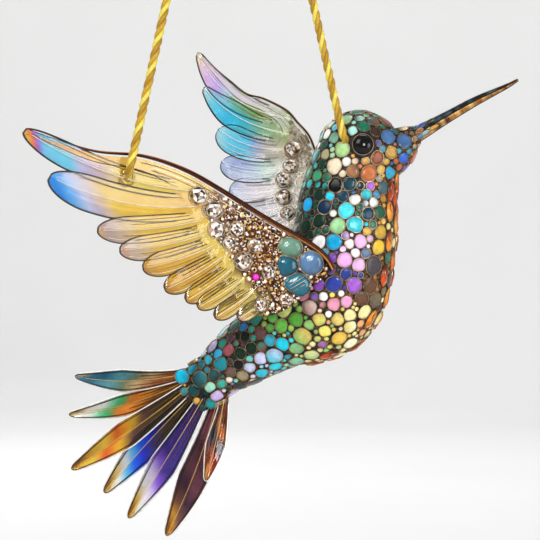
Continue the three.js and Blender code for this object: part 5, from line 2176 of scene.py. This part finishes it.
@dataclass
class Tail:
    """Seven glass blades with drawn lines, and stones over their roots."""

    reach: float = 0.0050
    edge: float = 0.0004
    ridge: float = 0.0012
    stagger: float = 0.0014
    stops: int = 44
    across: int = 13
    blades: tuple[Blade, ...] = (
        Blade((-0.0295, -0.0354), (-0.0727, -0.0384), 0.010, 0.0039, 0.0026,
            "0 a85a20 30 9a5628 45 c8a878 56 6a7a60 66 62a4ac 82 2c7494 93 3a7a98 100 d8c4a0"),
        Blade((-0.0289, -0.0374), (-0.0749, -0.0523), 0.007, 0.0038, 0.0028,
            "0 7a3c14 35 7a4a20 50 e89030 60 dc7c2a 66 2fae62 74 86d4a4 80 f0f4ee 92 f6eeda 100 c08a34"),
        Blade((-0.0269, -0.0394), (-0.0715, -0.0709), 0.001, 0.0047, 0.0011,
            "0 3a2c14 40 4a3a1a 52 6a4440 61 f0bc30 71 e8642c 80 f8d04c 92 e0aa44 100 98662a"),
        Blade((-0.0250, -0.0419), (-0.0603, -0.0793), 0.001, 0.0050, -0.0007,
            "0 2a2014 40 3a2c1c 50 30286a 60 2434c8 68 2068ee 75 66c4fa 82 f2f6f6 92 f4d078 100 b07832"),
        Blade((-0.0228, -0.0436), (-0.0497, -0.0872), -0.003, 0.0048, 0.0006,
            "0 2a1a40 30 3a2a78 45 3c2e8c 58 46328e 66 9060d6 74 e2d4f6 84 faf6ee 93 f4c658 100 b87428"),
        Blade((-0.0195, -0.0457), (-0.0359, -0.0931), -0.006, 0.0052, 0.0019,
            "0 3a1c14 20 6a3040 35 8a4a5c 45 4a2c38 60 6e404c 72 40283a 84 8a584e 92 f0b048 100 a86824"),
        Blade((-0.0164, -0.0468), (-0.0208, -0.0730), -0.008, 0.0034, 0.0006,
            "0 c05018 30 7a2c14 42 f08830 52 4a2020 62 4a2c50 74 e86020 86 f08030 100 f4ae4c"),
    )
    slant: float = 0.04
    facet: float = 0.045
    # Painted shade on one side of each blade's ridge and a painted glow on the other, as if one facet were
    # lit
    shadow: float = 0.30
    painted_glow: float = 0.15
    crumb_seed: int = 9
    crumb_sizes: tuple[Size, ...] = ((0.0009, 0.0014, 400), (0.0005, 0.0009, 900))
    crumb_codes: str = "0c1f18 3a2414 d8a848 1a4a48 5a3a20 12484c 8a5a28 2f8a94"
    crumb_area: tuple[Pair, ...] = (
        (-0.0285, -0.0335), (-0.0318, -0.0385), (-0.0292, -0.0448), (-0.0225, -0.0492), (-0.0172, -0.0478),
    )
    pad_half: float = 0.0024
    pad_heart: Pair = (-0.0209, -0.0384)
    pad_code: str = "5a4a34"
    covers: tuple[Dot, ...] = (
        (-0.0305, -0.0374, 0.0027, "14b8dc"), (-0.0263, -0.0421, 0.0023, "12484c"),
        (-0.0297, -0.0427, 0.0015, "2f8a94"), (-0.0253, -0.0459, 0.0014, "d8a848"),
        (-0.0203, -0.0468, 0.0020, "1a9498"),
    )

    def on_blade(self, blade: Blade, number: int, share: Array, aside: float, face: float) -> Array:
        """Places on a blade.

        Args:
            blade: the blade.
            number: its number from above, from 1.
            share: shares of its length.
            aside: place across it, from -1 to 1.
            face: 1 and -1 for its faces, 0 for the middle of the glass.

        Returns:
            One place for each share.
        """
        stagger = self.stagger if number % 2 == 0 else -self.stagger
        start = np.array((blade.root[0], stagger, blade.root[1]))
        end = np.array((blade.tip[0], stagger + blade.lean, blade.tip[1]))
        along = unit(end - start)
        start = start - along * self.reach
        across = unit(np.array((along[2], 0.0, -along[0])))
        t = share[:, None]
        centre = start + (end - start) * t - across * 4 * blade.bow * t * (1 - t)
        width = blade.half * feather_shape(share, True) * (0.45 + 0.55 * np.minimum(1, share / 0.6))
        lift = face * (self.edge + (self.ridge - self.edge) * (1 - abs(aside)) + ribbing(aside))
        return turned(centre + across * (aside * width)[:, None] + np.cross(along, across) * lift)

    def blade_glass(self, blade: Blade, number: int) -> MeshMaker:
        """Glass of one blade.

        Args:
            blade: the blade.
            number: its number from above, from 1.

        Returns:
            The closed form.
        """
        shares = feather_stops(self.stops)

        def tint(aside: Array) -> Array:
            """Slanting bands that jump at the ridge, with painted shade on one side and a painted glow on the
            other.

            Args:
                aside: places across the blade.

            Returns:
                One colour for each share and place across.
            """
            shift = self.slant * aside + self.facet * np.sign(aside)
            light = np.where(aside > 0.1, 1 - self.shadow, 1 + self.painted_glow)
            return banded(blade.bands, shares[:, None] + shift) * light[:, None]

        return feather_form(partial(self.on_blade, blade, number), shares, self.across, tint)

    def build(self) -> None:
        """Makes the blades, their lines and the stones over their roots."""
        for number, blade in enumerate(self.blades, start=1):
            piece = self.blade_glass(blade, number).build(f"tail_blade_{number}", (TAIL_GLASS,), 18.0)
            settle(piece, "tail_glass", [f"tail_feather_{number}"])
        self.lines()
        self.cover()

    def lines(self) -> None:
        """White outlines with a dark line inside, and a gold rib between short brown ones on each face; the
        white outlines also stand in for a painted highlight along the glass edges.
        """
        maker = MeshMaker()
        shares = feather_stops(50)
        run, rib = shares[5:], shares[4:-10]
        for number, blade in enumerate(self.blades, start=1):
            surface = partial(self.on_blade, blade, number)
            # The white outline is a drawn line that also stands in for a painted highlight along the blade's
            # edge
            maker.tube(round_feather(surface, run, 1.0, 0.0), 0.00040, shade(Line.WHITE.value), 7)
            for face in (1.0, -1.0):
                maker.tube(round_feather(surface, run, 0.82, face), 0.00017, shade(Line.DARK.value), 5)
                maker.tube(surface(rib, 0.0, face), 0.00017 * (1 - 0.5 * rib), shade(Line.GOLD.value))
                for aside, stop in ((-0.45, -28), (0.45, -32)):
                    maker.tube(surface(shares[4:stop], aside, face), 0.00011, shade(Line.BROWN.value), 5)
        settle(maker.build("tail_lines", (LINE_METAL,), 70.0), "copper_edge")

    def on_pad(self, flat: Array, lift: float) -> Array:
        """Places over the blades' roots, from x and z and a height out of the middle plane."""
        x, z = flat[..., 0] / math.cos(BODY_TURN), flat[..., 1]
        return turned(np.stack((x, np.full(flat.shape[:-1], lift), z), axis=-1))

    def cover(self) -> None:
        """Dark ground over the roots of the blades, set with stones on both sides."""
        maker = MeshMaker()
        heart, outline, codes = np.array(self.pad_heart), np.array(self.crumb_area), shades(self.crumb_codes)
        rim = np.vstack((spline(outline, np.linspace(0, 1, 24)), heart)) - heart
        rings = [self.on_pad(heart + scale * rim, share * self.pad_half)
                 for share, scale in ((-1.0, 0.80), (-0.6, 0.92), (0.6, 0.92), (1.0, 0.80))]
        maker.loft(np.array(rings), shade(self.pad_code), 2)
        draw = np.random.RandomState(self.crumb_seed)
        taken = []
        # Each stone a colour and its darker copy, darker below: painted light and shade
        for x, z, radius, code in self.covers:
            taken.append((np.array((x, z)), radius))
            self.pair(maker, *taken[-1], (shade(code), 0.7 * shade(code)), 0.0004, RIM_HEIGHT)
        for place, radius in scatter(taken, self.crumb_sizes, partial(throws, outline, draw)):
            # The crumbs too are lighter above and darker below, as painted light and shade
            tint = codes[draw.randint(len(codes))]
            self.pair(maker, place, radius, (tint, 0.6 * tint), 0.0003, 0.0)
        settle(maker.build("tail_root_stones", (ENAMEL, RIM_METAL, DARK_GROUND), 50.0), "mosaic")

    def pair(self, maker: MeshMaker, place: Array, radius: float, tints: tuple[Array, Array], rise: float,
             rim: float) -> None:
        """Sets the same stone on both sides of the blades' roots.

        Args:
            maker: mesh that takes the stones.
            place: x and z of the stones.
            radius: half their width.
            tints: their two colours, a lighter and a darker copy of one, as painted light and shade.
            rise: height of the dome.
            rim: height of the rim, or 0 for none.
        """
        for side in Side:
            normal = turned(np.array((0.0, float(side.value), 0.0)))
            stone = Stone(self.on_pad(place, side.value * self.pad_half), normal, radius)
            set_stone(maker, stone, tints, rise, rim=rim)


def write_sizes() -> None:
    """Works out the boxes of the solids and of the dressed part as plain lists, without writing them.
    """
    boxes = {"cad": CAD_BOX, "visual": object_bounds()}
    plain = {name: [[float(value) for value in corner] for corner in box] for name, box in boxes.items()}


def main() -> None:
    """Builds the stage, the cord and every piece of the bird, in order."""
    logging.basicConfig(level=logging.INFO, format="%(message)s")
    Studio().build()
    TwistedCord().build()
    Body().build(Mosaic())
    Beak().build()
    for wing in (right_wing(), left_wing()):
        wing.build()
    Tail().build()
    write_sizes()


if __name__ == "__main__":
    main()
